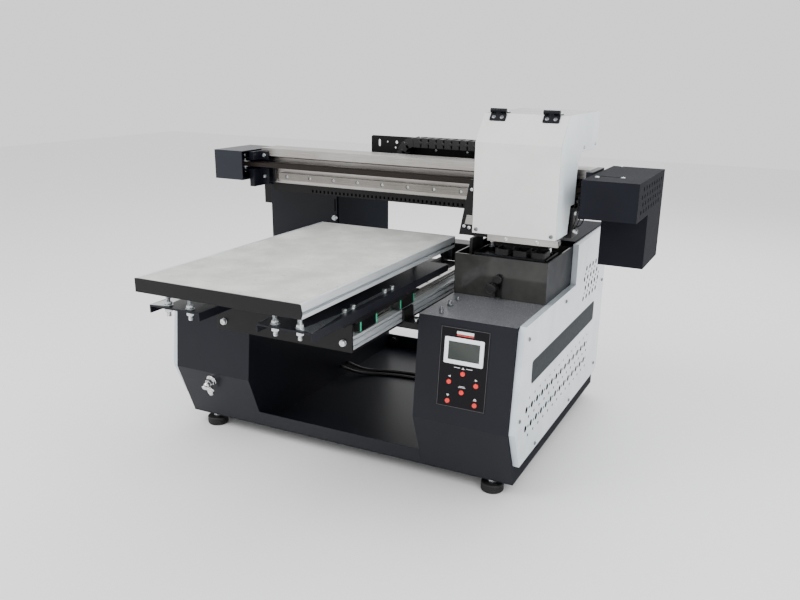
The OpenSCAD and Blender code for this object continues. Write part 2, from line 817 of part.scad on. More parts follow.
module idler_bracket() {
  z0 = beam_z - 5;
  z1 = beam_top - 7;
  color("#22252c") difference() {
    union() {
      slab(bracket_x, [-34, beam_rear], [z0, z1]);
      slab([bracket_x[1], bracket_x[1] + 21], [9, beam_face], [z0 + 6, z1 - 16]);
      slab([bracket_x[0], bracket_x[1] + 20], [-lip_out - 4, -lip_out - 0.5], [z0 + 4, z1]);
      for (z = [belt_z - 16, belt_z + 12]) slab([-384, bracket_x[0]], [-32, 2], [z, z + 4]);
    }
    slab([bracket_x[0] - 1, bracket_x[1] + 25], [-35, 2], [belt_z - 10, belt_z + 10]);
  }
  color("silver") {
    rod_z(8, belt_z - 20, belt_z + 20, idler_x, belt_y);
    for (z = [z0 + 14, z1 - 22]) rod_y(7, 5, 9, bracket_x[1] + 12, z);
  }
}

module idler_pulley() {
  color("#9fa3a8") translate([idler_x, belt_y, belt_z - belt_w / 2 - 2]) pulley(pulley_r, belt_w, 8 + 2 * fit);
}

module idler_box() {
  t = 2;
  x = [box_left, bracket_x[0]];
  y = [-60, 71];
  z = [533, 596];
  color("#2a2d36") difference() {
    slab(x, y, z);
    slab([x[0] + t, x[1] + 1], [y[0] + t, y[1] - t], [z[0] + t, z[1] - t]);
  }
}

// ---- motor end ----
motor_box_x = [447, box_right];
motor_y = [-130, 114];
plate_z = 552;
lower_left = 463;

module motor_plate() {
  color("#22252c") difference() {
    union() {
      slab([beam_right, beam_right + 12], [-34, beam_rear], [beam_z - 5, beam_top]);
      slab([beam_right + 12, box_right - 2], [-60, motor_y[1] - 2], [plate_z, plate_z + 5]);
    }
    slab([beam_right - 1, beam_right + 13], [-35, 2], [belt_z - 10, belt_z + 10]);
    rod_z(22.5, plate_z - 1, plate_z + 6, MOTOR[0], MOTOR[1]);
  }
  color("silver") rod_z(10, plate_z + 5, 594, drive_x, belt_y);
}

module x_motor() {
  color("#1d1d20") difference() {
    union() {
      slab([MOTOR[0] - 28, MOTOR[0] + 28], [MOTOR[1] - 28, MOTOR[1] + 28], [plate_z - 76, plate_z]);
      rod_z(22, plate_z, plate_z + 2, MOTOR[0], MOTOR[1]);
    }
    rod_z(6.35 + 2 * fit, plate_z - 20, plate_z + 3, MOTOR[0], MOTOR[1]);
  }
}

module x_motor_pulley() {
  color("#9fa3a8") {
    rod_z(6.35, plate_z - 20, stage_z[1] + 3, MOTOR[0], MOTOR[1]);
    rod_z(2 * pinion_r, stage_z[0], stage_z[1], MOTOR[0], MOTOR[1]);
    rod_z(2 * pinion_r + 6, stage_z[0] - 2, stage_z[0], MOTOR[0], MOTOR[1]);
  }
}

module x_drive_pulley() {
  base = belt_z - belt_w / 2 - 2;
  color("#9fa3a8") translate([drive_x, belt_y, 0]) difference() {
    union() {
      translate([0, 0, base]) pulley(pulley_r, belt_w, 4);
      translate([0, 0, base + belt_w + 4]) cylinder(r = stage_r, h = stage_z[1] - base - belt_w - 4);
    }
    translate([0, 0, base - 1]) cylinder(d = 10 + 2 * fit, h = 60);
  }
}

module motor_outline(inset) {
  polygon([
    [motor_y[0] + inset, 531 + inset], [motor_y[0] + inset, 598 - inset], [motor_y[1] - inset, 598 - inset],
    [motor_y[1] - inset, 430 + inset], [-26 + inset, 430 + inset], [-26 + inset, 531 + inset]
  ]);
}

module motor_box() {
  t = 2;
  color("#25262b") difference() {
    along_x(motor_box_x[0], motor_box_x[1]) motor_outline(0);
    along_x(motor_box_x[0] - 1, motor_box_x[1] - t) motor_outline(t);
    for (i = [0:7], r = [0:3]) {
      rod_x(8.5, motor_box_x[1] - 3, motor_box_x[1] + 1, -98 + i * 24 + (r % 2) * 12, 545 + r * 13);
    }
    slab([462, 505], [-63, -58], [590, 600]);
    slab([motor_box_x[0] - 1, lower_left], [-27, motor_y[1] + 1], [429, 531]);
  }
}

// ---- cable chain behind the beam ----
chain_y = [120, 160];
chain_h = 24;
chain_r = 30;
chain_top_z = 620;
chain_low_z = chain_top_z - 2 * chain_r;
bend_x = 3;
chain_fixed_x = 180;
chain_end_x = hood_left + 40;
trough_x = [-330, 230];
trough_floor = chain_low_z - chain_h / 2 - 0.3;

wall_y = [chain_y[1] + 1.5, chain_y[1] + 4];
wall_left = -124;
wall_top = 626;

module cable_trough() {
  color("#211f21") {
    slab(trough_x, [chain_y[0] - 4, wall_y[1]], [trough_floor - sheet_t, trough_floor]);
    slab(trough_x, [chain_y[0] - 4, chain_y[0] - 1.5], [trough_floor, trough_floor + 30]);
    slab([trough_x[0], wall_left], wall_y, [trough_floor, trough_floor + 38]);
    for (x = [-250, -40, 205]) slab([x, x + 20], [chain_y[0], chain_y[1]], [beam_z, trough_floor - sheet_t]);
    slab([chain_fixed_x, chain_fixed_x + 6], [chain_y[0], wall_y[0]], [trough_floor, trough_floor + chain_h]);
    difference() {
      along_y(wall_y[0], wall_y[1]) polygon([
        [wall_left, trough_floor], [wall_left, wall_top - 3], [wall_left + 3, wall_top],
        [trough_x[1], wall_top], [trough_x[1], trough_floor]
      ]);
      slab([-106, -100], [wall_y[0] - 1, wall_y[1] + 1], [605, 615]);
      for (p = [[-103, 605, 6], [-103, 615, 6], [-82.5, 613, 4], [-59, 613, 7], [-62, 601, 4.5]]) {
        rod_y(p[2], wall_y[0] - 1, wall_y[1] + 1, p[0], p[1]);
      }
    }
  }
}

module chain_lower() {
  color("#1a191b") slab([bend_x + run, chain_fixed_x], chain_y, [trough_floor + 0.3, trough_floor + 0.3 + chain_h]);
}

module chain_bend() {
  mid = (chain_top_z + chain_low_z) / 2;
  color("#1a191b") translate([bend_x, chain_y[1], mid]) rotate([90, 0, 0]) linear_extrude(chain_y[1] - chain_y[0]) {
    intersection() {
      difference() {
        circle(r = chain_r + chain_h / 2);
        circle(r = chain_r - chain_h / 2);
      }
      translate([-100, -100]) square([100, 200]);
    }
  }
}

module chain_upper() {
  color("#1a191b") slab([bend_x + run, chain_end_x], chain_y,
    [chain_top_z - chain_h / 2, chain_top_z + chain_h / 2]);
}

// ---- carriage ----
frame_x = [hood_left + 6, hood_left + hood_w - 6];
plate_y = [-17, -9];
head_z = 479;
hood_bottom = 490.5;
hood_right = hood_left + hood_w;
hood_front = -147;
head_w = 28;
head_pitch = 36;
HEADS = [for (i = [0:2]) hood_left + 14 + i * head_pitch];
head_y = [-61, -20];
head_low = head_z - 20;
arm_z = 634;

module rail_slot_x(x0, x1) {
  slab([x0, x1], [-run, beam_face + 1], [rail_z - guide_w / 2 - run, rail_z + guide_w / 2 + run]);
}

// Bearing blocks, vertical plate, head plate, belt clamp, side brackets and chain arm
module carriage_frame() {
  strip = [hood_left + 30, hood_right + 5];
  clamp_y = belt_y - pulley_r - run;
  color("#3b3e45") for (x = [frame_x[0] + 8, frame_x[1] - 8 - block_l]) difference() {
    slab([x, x + block_l], [plate_y[1], beam_face - 4.3], [rail_z - 17, rail_z + 17]);
    rail_slot_x(x - 1, x + block_l + 1);
  }
  color("#26282f") {
    slab(frame_x, plate_y, [head_z, 612]);
    slab(frame_x, [plate_y[0] - 26, plate_y[0]], [607, 612]);
    difference() {
      slab([hood_left - 2, frame_x[1]], [-140, plate_y[0]], [head_z + 4, head_z + 9]);
      for (x = HEADS) slab([x, x + head_w], head_y, [head_z, head_z + 12]);
    }
  }
  color("#c9c7c2") slab(strip, [hood_front, -140], [head_z, head_z + 11]);
  color("#8f9398") difference() {
    slab([frame_x[0] + 50, frame_x[0] + 90], [clamp_y - belt_t - 5, plate_y[0]], [belt_z - 12, belt_z + 12]);
    slab([frame_x[0] + 49, frame_x[0] + 91], [clamp_y - belt_t - run, clamp_y + run],
      [belt_z - belt_w / 2 - run, belt_z + belt_w / 2 + run]);
  }
  color("#262224") {
    along_y(-143, -140) polygon([
      [hood_left - 28, head_z + 5], [hood_left - 9, 586], [hood_left, 586], [hood_left, head_z + 5]
    ]);
    slab([hood_left - 2, hood_left], [-140, -60], [head_z + 9, head_z + 30]);
    slab([hood_right, hood_right + 6], [-62, -24], [head_z + 2, 536]);
    slab([frame_x[1], hood_right], [-62, -24], [head_z + 2, head_z + 9]);
  }
  color("#26282f") {
    slab([chain_end_x, chain_end_x + 5], [chain_y[0], chain_y[1]], [chain_top_z - chain_h / 2, arm_z + 16]);
    slab([chain_end_x, chain_end_x + 5], [hood_rear, chain_y[0]], [arm_z, arm_z + 16]);
  }
}

module print_heads() {
  color("#1d1d22") for (x = HEADS) {
    slab([x - 3, x + head_w + 3], [head_y[0] - 35, head_y[1] + 1], [head_z + 9, head_z + 55]);
    slab([x + 1, x + head_w - 1], [head_y[0] + 1, head_y[1] - 1], [head_low, head_z + 9]);
  }
}

// ---- hood ----
hood_t = 1.5;
slant_y = -107;
slant_z = 653;
hood_top = 702;
hood_rear = 104;
hinge_r = 4;
HINGE_X = [[12, 42], [110, 140]];

hood_lean = atan((slant_y - hood_front) / (hood_top - slant_z));

// Front outline of the hood, set back by u from its outer face
function front_line(u) = [
  [hood_front + u, hood_bottom], [hood_front + u, slant_z - u * tan(hood_lean / 2)],
  [slant_y + u * cos(hood_lean), hood_top - u * sin(hood_lean)]
];
function backwards(list) = [for (i = [len(list) - 1:-1:0]) list[i]];

module hood_body() {
  gap = hood_t + run;
  color("#d3d3d2") {
    for (x = [hood_left, hood_right - hood_t]) along_x(x, x + hood_t) polygon(concat(front_line(gap), [
      [slant_y + gap + 1, hood_top], [hood_rear, hood_top], [hood_rear, 632], [-10, 632], [-27, 618],
      [-33, 596], [-36, 540], [-62, 540], [-72, hood_bottom]
    ]));
    slab([hood_left + hood_t, hood_right - hood_t], [slant_y + gap + 1, hood_rear], [hood_top - hood_t, hood_top]);
    slab([hood_left + hood_t, hood_right - hood_t], [hood_rear - hood_t, hood_rear], [632, hood_top - hood_t]);
  }
  color("#201e20") hinge_fixed();
}

hinge_y = slant_y - 1;
hinge_z = hood_top + hinge_r + 0.6;

module hinge_fixed() {
  for (h = HINGE_X) {
    x0 = hood_left + h[0];
    x1 = hood_left + h[1];
    third = (x1 - x0) / 3;
    for (s = [0, 2]) rod_x(2 * hinge_r, x0 + s * third, x0 + (s + 1) * third - run, hinge_y, hinge_z);
    rod_x(3, x0, x1 - run, hinge_y, hinge_z);
    slab([x0, x0 + third - run], [hinge_y, hinge_y + 22], [hood_top, hood_top + 2]);
    slab([x0 + 2 * third, x1 - run], [hinge_y, hinge_y + 22], [hood_top, hood_top + 2]);
    slab([x0 + third - run, x0 + 2 * third], [hinge_y + 2 * hinge_r, hinge_y + 22], [hood_top, hood_top + 2]);
  }
}

module hood_flap() {
  color("#d6d6d5") along_x(hood_left, hood_right) polygon(concat(front_line(0), backwards(front_line(hood_t))));
  color("#201e20") for (h = HINGE_X) {
    third = (h[1] - h[0]) / 3;
    x0 = hood_left + h[0] + third + run / 2;
    x1 = x0 + third - 2 * run;
    difference() {
      union() {
        rod_x(2 * hinge_r, x0, x1, hinge_y, hinge_z);
        along_x(x0, x1) polygon([
          [hinge_y - 3.6, hinge_z - 1], [hinge_y + 0.6, hinge_z - 3.9], [slant_y - 0.4, hood_top - 0.5],
          [slant_y - 2.4, hood_top - 2.9]
        ]);
      }
      rod_x(3 + 2 * fit, x0 - 1, x1 + 1, hinge_y, hinge_z);
    }
  }
}

// ---- capping station on the right column ----
cap_x = [column_in, column_out];
cap_y = [-68, raised_front - 4];
cap_t_wall = 3;
cap_cover_z = 430;
slot_x = 284;
slot_top = 390;
knob_x = 275;
knob_z = 371;
tube_d = 6;
tube_y = 72;
TUBES = [205, 216];
tray_x = [226, 374];
post_d = 8;
POSTS = [240, 360];
cap_lift = 12;

module capping_cover() {
  t = cap_t_wall;
  color("#5b5b5b") difference() {
    slab(cap_x, cap_y, [column_top, cap_cover_z]);
    slab([cap_x[0] + t, cap_x[1] - t], [cap_y[0] + t, cap_y[1] - t], [column_top - 1, cap_cover_z + 1]);
    slab([slot_x - 7, slot_x + 7], [cap_y[0] - 1, cap_y[0] + t + 1], [column_top - 1, slot_top]);
    rod_y(14, cap_y[0] - 1, cap_y[0] + t + 1, slot_x, slot_top);
    rod_y(12 + 2 * run, cap_y[0] - 1, cap_y[0] + t + 1, knob_x, knob_z);
  }
}

module cap_base() {
  front = cap_y[0] + cap_t_wall + 5;
  color("#222226") {
    slab(tray_x, [front, 40], [column_top, column_top + 44]);
    slab([206, 218], [front, 60], [column_top, column_top + 40]);
    rod_y(10, cap_y[0] - 14, front, knob_x, knob_z);
    rod_y(20, cap_y[0] - 22, cap_y[0] - 4, knob_x, knob_z);
    rod_y(12, cap_y[0] - 3, front, slot_x, slot_top - 2);
  }
  color("silver") for (x = POSTS) rod_z(post_d, column_top + 44, column_top + 96, x, 5);
  color("#26262a") slab([209, 215], [-40, 20], [column_top + 40, head_low - 3]);
  color("#d9dad6") for (x = TUBES) rod_z(tube_d, column_top - 8, column_top + 60, x, tube_y);
}

module cap_tray() {
  z = head_low - cap_lift - 1 - 22;
  color("#5c5f64") difference() {
    slab(tray_x, [cap_y[0] + 5, 20], [z, z + 10]);
    for (x = POSTS) rod_z(post_d + 2 * fit, z - 1, z + 11, x, 5);
  }
  color("#2a2a2d") for (x = HEADS) difference() {
    slab([x, x + head_w], head_y, [z + 10, z + 22]);
    slab([x + 3, x + head_w - 3], [head_y[0] + 3, head_y[1] - 3], [z + 14, z + 23]);
  }
}

// ---- all nodes ----
place() {
  base_pan();
  column_left();
  column_right();
  upright_left();
  upright_right();
  upright_front_panel();
  feet();
  side_cover_left();
  side_cover_right();
  screws();
  control_label();
  display();
  button(0);  // button_up
  button(1);  // button_left
  button(2);  // button_right
  button(3);  // button_feed
  button(4);  // button_out
  button(5);  // button_enter
  drain_valve();
  drain_handle();
  electronics();
  pan_cables();
  deck_plate();
  y_extrusions();
  y_rails();
  y_front_plate();
  y_belt();
  y_motor();
  y_drive_pulley();
  y_idler_pulley();
  y_blocks();
  y_seals();
  table_carriage();
  table_channels();
  levelling_bolts();
  table_panel();
  table_profiles();
  gantry_shelf();
  beam();
  x_rail();
  x_belts();
  idler_bracket();
  idler_box();
  idler_pulley();
  motor_plate();
  motor_box();
  x_motor();
  x_motor_pulley();
  x_drive_pulley();
  cable_trough();
  chain_lower();
  chain_bend();
  chain_upper();
  carriage_frame();
  print_heads();
  hood_body();
  hood_flap();
  capping_cover();
  cap_base();
  cap_tray();
}
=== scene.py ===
import json
import math
import bpy
import bmesh
from mathutils import Matrix, Vector


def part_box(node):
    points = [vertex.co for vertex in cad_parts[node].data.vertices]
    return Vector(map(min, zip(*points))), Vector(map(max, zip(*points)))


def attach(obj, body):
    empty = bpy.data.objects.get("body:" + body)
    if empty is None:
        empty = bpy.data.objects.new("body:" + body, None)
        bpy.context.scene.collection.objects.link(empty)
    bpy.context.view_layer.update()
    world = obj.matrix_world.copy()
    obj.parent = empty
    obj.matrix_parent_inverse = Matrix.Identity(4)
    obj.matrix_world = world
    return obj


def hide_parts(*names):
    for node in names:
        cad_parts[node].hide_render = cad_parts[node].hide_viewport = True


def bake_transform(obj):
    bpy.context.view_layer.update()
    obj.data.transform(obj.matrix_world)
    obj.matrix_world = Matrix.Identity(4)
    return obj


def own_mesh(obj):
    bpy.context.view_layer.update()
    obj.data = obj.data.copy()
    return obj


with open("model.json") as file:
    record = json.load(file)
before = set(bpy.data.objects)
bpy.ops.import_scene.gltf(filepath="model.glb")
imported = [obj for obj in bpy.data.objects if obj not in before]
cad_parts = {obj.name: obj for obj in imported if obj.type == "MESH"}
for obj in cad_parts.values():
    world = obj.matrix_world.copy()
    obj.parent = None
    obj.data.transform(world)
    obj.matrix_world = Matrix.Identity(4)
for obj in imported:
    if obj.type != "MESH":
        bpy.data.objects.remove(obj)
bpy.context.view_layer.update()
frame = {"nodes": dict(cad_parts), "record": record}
nodes = frame["nodes"]
groups = frame["record"]["behaviour"]["bodies"]
bodyOf = {n: body for body, names in groups.items() for n in names}

# The machine's own axes: x from its middle plane, y from the rail's face, z from the floor
panLow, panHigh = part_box("base_pan")
middleX = (panLow.x + panHigh.x) / 2
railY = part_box("x_rail")[0].y


def at(x, y, z):
    return Vector((middleX + x / 1000, railY + y / 1000, z / 1000))


def mm(value):
    return value / 1000


def nodeBox(name):
    # corners of a node in millimetres on the machine's own axes
    low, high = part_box(name)
    shift = Vector((middleX, railY, 0))
    return (low - shift) * 1000, (high - shift) * 1000


camera = {"place": (794.2, -1503.5, 781.9), "turn": 25.496, "down": 17.784, "roll": 0.941,
          "lens": 36.22, "shift": (-0.0214, 0.0285)}


def makeCamera():
    turn, down, roll = (math.radians(camera[k]) for k in ("turn", "down", "roll"))
    ahead = Vector((-math.sin(turn) * math.cos(down), math.cos(turn) * math.cos(down), -math.sin(down)))
    right = ahead.cross(Vector((0, 0, 1))).normalized()
    up = right.cross(ahead)
    sideways = right * math.cos(roll) + up * math.sin(roll)
    upright = up * math.cos(roll) - right * math.sin(roll)
    data = bpy.data.cameras.new("camera")
    data.lens = camera["lens"]
    data.sensor_width = 36
    data.shift_x, data.shift_y = camera["shift"]
    data.clip_end = 50
    obj = bpy.data.objects.new("camera", data)
    bpy.context.scene.collection.objects.link(obj)
    turned = Matrix((sideways, upright, -ahead)).transposed().to_4x4()
    obj.matrix_world = Matrix.Translation(at(*camera["place"])) @ turned
    bpy.context.scene.camera = obj


makeCamera()
print("camera in place")


def linear(hexCode):
    channels = [int(hexCode[i:i + 2], 16) / 255 for i in (1, 3, 5)]
    return [c / 12.92 if c <= 0.04045 else ((c + 0.055) / 1.055) ** 2.4 for c in channels] + [1]


def addNode(material, kind, inputs=None, **settings):
    node = material.node_tree.nodes.new("ShaderNode" + kind)
    for name, value in settings.items():
        setattr(node, name, value)
    for name, value in (inputs or {}).items():
        if isinstance(value, bpy.types.NodeSocket):
            material.node_tree.links.new(value, node.inputs[name])
        else:
            node.inputs[name].default_value = value
    return node


def startMaterial(name, **constants):
    # an empty material with one shader; constants sit on the shader's own sockets
    material = bpy.data.materials.new(name)
    material.use_nodes = True
    tree = material.node_tree
    shader = tree.nodes["Principled BSDF"]
    for key, value in constants.items():
        shader.inputs[key.replace("_", " ")].default_value = value
    return material, tree, shader


def grainOf(material, size, stretch=(1, 1, 1), detail=3.0, roughness=0.6):
    # noise whose grain is size millimetres across, drawn out along the axes by stretch
    place = addNode(material, "TexCoord")
    scale = addNode(material, "Mapping", {"Vector": place.outputs["Object"],
                                          "Scale": [1 / s for s in stretch]})
    return addNode(material, "TexNoise", {"Vector": scale.outputs["Vector"], "Scale": 1000 / size,
                                          "Detail": detail, "Roughness": roughness})


def ramp(material, value, stops, mode="LINEAR"):
    node = addNode(material, "ValToRGB", {"Fac": value})
    node.color_ramp.interpolation = mode
    elements = node.color_ramp.elements
    while len(elements) < len(stops):
        elements.new(0.5)
    for element, (where, colour) in zip(elements, stops):
        element.position = where
        element.color = linear(colour) if isinstance(colour, str) else (colour, colour, colour, 1)
    return node


def roundEdges(material, tree, shader, radius, height=None, strength=0.0, distance=0.0):
    # sheet and moulded edges are never quite sharp: the normal is rounded, then grained
    edge = addNode(material, "Bevel", {"Radius": mm(radius)}, samples=4)
    normal = edge.outputs["Normal"]
    if height is not None:
        bump = addNode(material, "Bump", {"Strength": strength, "Distance": mm(distance), "Height": height,
                                          "Normal": normal})
        normal = bump.outputs["Normal"]
    tree.links.new(normal, shader.inputs["Normal"])


def powderCoat(name, light, dark, roughness, sheen=0.22, edge=0.8):
    # baked polyester powder: satin with a fine orange peel, drawn 2.5 mm wide so that it shows
    material, tree, shader = startMaterial(name, Metallic=0.0, IOR=1.5, Specular_IOR_Level=sheen)
    cloud = grainOf(material, 160, detail=2.0)
    peel = grainOf(material, 2.5, detail=2.0)
    tint = ramp(material, cloud.outputs["Fac"], [(0.3, dark), (0.7, light)])
    gloss = ramp(material, peel.outputs["Fac"], [(0.3, roughness - 0.05), (0.75, roughness + 0.08)])
    tree.links.new(tint.outputs["Color"], shader.inputs["Base Color"])
    tree.links.new(gloss.outputs["Color"], shader.inputs["Roughness"])
    roundEdges(material, tree, shader, edge, peel.outputs["Fac"], 0.45, 0.06)
    return material


def topCoatPaintedLight():
    # crinkled powder on the column tops, painted lighter than the rest of the coat with pale grains about 2 mm wide:
    # painted highlights where light from above falls on the tops
    material, tree, shader = startMaterial("powderCoatTopPaintedHighlight", Metallic=0.0, IOR=1.5,
                                           Specular_IOR_Level=0.7)
    grain = grainOf(material, 2.2, detail=3.0, roughness=0.7)
    cloud = grainOf(material, 120, detail=2.0)
    tint = ramp(material, grain.outputs["Fac"], [(0.35, "#3d3e44"), (0.6, "#67686c"), (0.7, "#b9babc")])
    gloss = ramp(material, cloud.outputs["Fac"], [(0.3, 0.34), (0.7, 0.44)])
    tree.links.new(tint.outputs["Color"], shader.inputs["Base Color"])
    tree.links.new(gloss.outputs["Color"], shader.inputs["Roughness"])
    roundEdges(material, tree, shader, 0.8, grain.outputs["Fac"], 0.8, 0.25)
    return material


def enamel(name, light, dark, roughness, coat):
    # stove enamel on steel: smooth, with a clear gloss over a faint unevenness 60 mm across
    material, tree, shader = startMaterial(name, Metallic=0.0, IOR=1.5, Coat_Weight=coat,
                                           Coat_Roughness=0.06)
    cloud = grainOf(material, 60, detail=2.0)
    dust = grainOf(material, 1.2, detail=2.0)
    tint = ramp(material, cloud.outputs["Fac"], [(0.3, dark), (0.7, light)])
    gloss = ramp(material, dust.outputs["Fac"], [(0.35, roughness - 0.03), (0.7, roughness + 0.06)])
    tree.links.new(tint.outputs["Color"], shader.inputs["Base Color"])
    tree.links.new(gloss.outputs["Color"], shader.inputs["Roughness"])
    roundEdges(material, tree, shader, 0.8, cloud.outputs["Fac"], 0.06, 0.4)
    return material


def drawnMetal(name, light, dark, roughness, along, edge=0.4, metallic=1.0):
    # metal with the fine lines of its die or belt, drawn 0.9 mm apart so that they show, and 80 mm long
    material, tree, shader = startMaterial(name, Metallic=metallic)
    stretch = [1.0, 1.0, 1.0]
    stretch["xyz".index(along)] = 90.0
    lines = grainOf(material, 0.9, tuple(stretch), detail=4.0, roughness=0.7)
    cloud = grainOf(material, 90, detail=2.0)
    mix = addNode(material, "Mix", {"Factor": 0.35, "A": lines.outputs["Fac"], "B": cloud.outputs["Fac"]})
    tint = ramp(material, mix.outputs["Result"], [(0.3, dark), (0.7, light)])
    gloss = ramp(material, lines.outputs["Fac"], [(0.3, roughness - 0.07), (0.75, roughness + 0.1)])
    tree.links.new(tint.outputs["Color"], shader.inputs["Base Color"])
    tree.links.new(gloss.outputs["Color"], shader.inputs["Roughness"])
    roundEdges(material, tree, shader, edge, lines.outputs["Fac"], 0.12, 0.04)
    return material


def plainMetal(name, light, dark, roughness, grain, edge=0.3):
    # plated or ground metal: tiny even pits that spread the shine
    material, tree, shader = startMaterial(name, Metallic=1.0)
    pits = grainOf(material, grain, detail=3.0)
    tint = ramp(material, pits.outputs["Fac"], [(0.35, dark), (0.65, light)])
    gloss = ramp(material, pits.outputs["Fac"], [(0.3, roughness - 0.05), (0.7, roughness + 0.1)])
    tree.links.new(tint.outputs["Color"], shader.inputs["Base Color"])
    tree.links.new(gloss.outputs["Color"], shader.inputs["Roughness"])
    roundEdges(material, tree, shader, edge, pits.outputs["Fac"], 0.1, 0.03)
    return material


def moulded(name, light, dark, roughness, grain, bump, edge=0.5, **constants):
    # moulded plastic or rubber: one colour through, with the mould's texture
    material, tree, shader = startMaterial(name, Metallic=0.0, **constants)
    skin = grainOf(material, grain, detail=3.0)
    tint = ramp(material, skin.outputs["Fac"], [(0.35, dark), (0.7, light)])
    gloss = ramp(material, skin.outputs["Fac"], [(0.3, roughness - 0.05), (0.7, roughness + 0.08)])
    tree.links.new(tint.outputs["Color"], shader.inputs["Base Color"])
    tree.links.new(gloss.outputs["Color"], shader.inputs["Roughness"])
    roundEdges(material, tree, shader, edge, skin.outputs["Fac"], bump, 0.1)
    return material


def printBedSheet():
    # pale composite sheet: cloudy grey with scattered specks and a few rubbed streaks
    material, tree, shader = startMaterial("compositeSheet", Metallic=0.0, IOR=1.48)
    cloud = grainOf(material, 70, detail=4.0, roughness=0.62)
    fine = grainOf(material, 3.0, detail=3.0)
    speck = grainOf(material, 7.0, detail=1.0)
    streak = grainOf(material, 9.0, (9, 1, 1), detail=3.0)
    base = ramp(material, cloud.outputs["Fac"], [(0.3, "#aeaeab"), (0.5, "#c0c0bd"), (0.7, "#d2d2cf")])
    grit = ramp(material, fine.outputs["Fac"], [(0.3, "#b4b4b2"), (0.7, "#ffffff")])
    grained = addNode(material, "Mix", {"Factor": 0.30, "A": base.outputs["Color"],
                                        "B": grit.outputs["Color"]}, data_type="RGBA", blend_type="MULTIPLY")
    dots = ramp(material, speck.outputs["Fac"], [(0.27, 0.8), (0.30, 0.0)])
    dotted = addNode(material, "Mix", {"Factor": dots.outputs["Color"], "A": grained.outputs["Result"],
                                       "B": linear("#8f908f")}, data_type="RGBA")
    rubs = ramp(material, streak.outputs["Fac"], [(0.62, 0.0), (0.78, 0.6)])
    rubbed = addNode(material, "Mix", {"Factor": rubs.outputs["Color"], "A": dotted.outputs["Result"],
                                       "B": linear("#a3a4a4")}, data_type="RGBA")
    gloss = ramp(material, fine.outputs["Fac"], [(0.3, 0.42), (0.7, 0.62)])
    tree.links.new(rubbed.outputs["Result"], shader.inputs["Base Color"])
    tree.links.new(gloss.outputs["Color"], shader.inputs["Roughness"])
    roundEdges(material, tree, shader, 0.5, fine.outputs["Fac"], 0.2, 0.08)
    return material


def smokedAcrylic():
    # cast acrylic, smoked: a hard gloss, and the parts behind it just show
    material, tree, shader = startMaterial("smokedAcrylic", Metallic=0.0, IOR=1.49, Transmission_Weight=0.12,
                                           Specular_IOR_Level=0.3)
    haze = grainOf(material, 45, detail=2.0)
    tint = ramp(material, haze.outputs["Fac"], [(0.3, "#30302f"), (0.7, "#3f3f3d")])
    gloss = ramp(material, haze.outputs["Fac"], [(0.3, 0.05), (0.7, 0.11)])
    tree.links.new(tint.outputs["Color"], shader.inputs["Base Color"])
    tree.links.new(gloss.outputs["Color"], shader.inputs["Roughness"])
    roundEdges(material, tree, shader, 0.6, haze.outputs["Fac"], 0.05, 0.5)
    return material


blueBlackPowder = powderCoat("powderCoatBlueBlack", "#12141c", "#0e1018", 0.36)
blackPowder = powderCoat("powderCoatBlack", "#121113", "#0e0d0f", 0.38)
deepPowder = powderCoat("powderCoatDeepBlue", "#08101f", "#060c18", 0.46, 0.03)
motorPowder = powderCoat("powderCoatCharcoal", "#1f2026", "#1a1b20", 0.58, 0.02)
columnTopPaintedLight = topCoatPaintedLight()
boxPowder = powderCoat("powderCoatSlate", "#1c1f28", "#171a22", 0.34, 0.3)
glossEnamel = enamel("enamelGlossWhite", "#cfd8df", "#bdc8d1", 0.20, 0.7)
# the hood's sides are white enamel tinted pale blue: painted tint of a cool light from the right
hoodSidePaintedBlueLight = enamel("enamelWhitePaintedBlueLight", "#f3fbff", "#e8f4fb", 0.34, 0.2)
# the hood's top is the same white enamel painted grey: painted shade
hoodTopPaintedShade = enamel("enamelWhitePaintedShade", "#ababac", "#9fa0a0", 0.40, 0.1)
satinEnamel = enamel("enamelSatinWhite", "#dadad9", "#d3d3d2", 0.38, 0.15)
brushedAluminium = drawnMetal("aluminiumBrushed", "#c9c5c1", "#8f8a86", 0.30, "x")
extrudedAluminium = drawnMetal("aluminiumAnodised", "#eef2f5", "#d3dade", 0.38, "y", metallic=0.75)
groundSteel = drawnMetal("steelGround", "#98948f", "#6f6b67", 0.26, "x", 0.3)
groundSteelLong = drawnMetal("steelGroundLong", "#d2d0cd", "#a9a6a2", 0.22, "y", 0.3)
stainless = plainMetal("steelStainless", "#8d9194", "#6d7174", 0.30, 1.2)
zincSteel = plainMetal("steelZincPlated", "#dfe3e4", "#b9bec0", 0.26, 1.2)
blackenedSteel = plainMetal("steelBlackened", "#2c2d30", "#1e1f22", 0.38, 1.5)
chromedBrass = plainMetal("brassChromed", "#e9eaea", "#d2d3d4", 0.10, 4.0)
turnedAluminium = plainMetal("aluminiumTurned", "#c4c6c8", "#a4a6a8", 0.32, 1.0)
sealRubber = moulded("rubberNitrileGreen", "#35ab82", "#2a9873", 0.48, 2.0, 0.1)
beltRubber = moulded("rubberNeopreneBelt", "#2c2725", "#211d1b", 0.62, 1.2, 0.3,
                     Specular_IOR_Level=0.12)
footRubber = moulded("rubberBlack", "#0f0e10", "#0a0a0b", 0.62, 1.4, 0.3)
nylonBlack = moulded("nylonBlack", "#121113", "#0c0b0d", 0.46, 1.6, 0.25)
absBlack = moulded("absBlack", "#121214", "#0d0d0f", 0.38, 1.4, 0.2)
absRed = moulded("absRed", "#f5382f", "#e62c26", 0.25, 3.0, 0.05, 0.8)
absSilver = moulded("absSilverGrey", "#fafdff", "#f2f6ff", 0.30, 3.0, 0.05)
labelFilm = moulded("polyesterFilm", "#0d0b10", "#09080c", 0.32, 6.0, 0.03,
                     Specular_IOR_Level=0.15)
whiteInk = moulded("screenInkWhite", "#e4e4e6", "#d8d8db", 0.45, 2.0, 0.02)
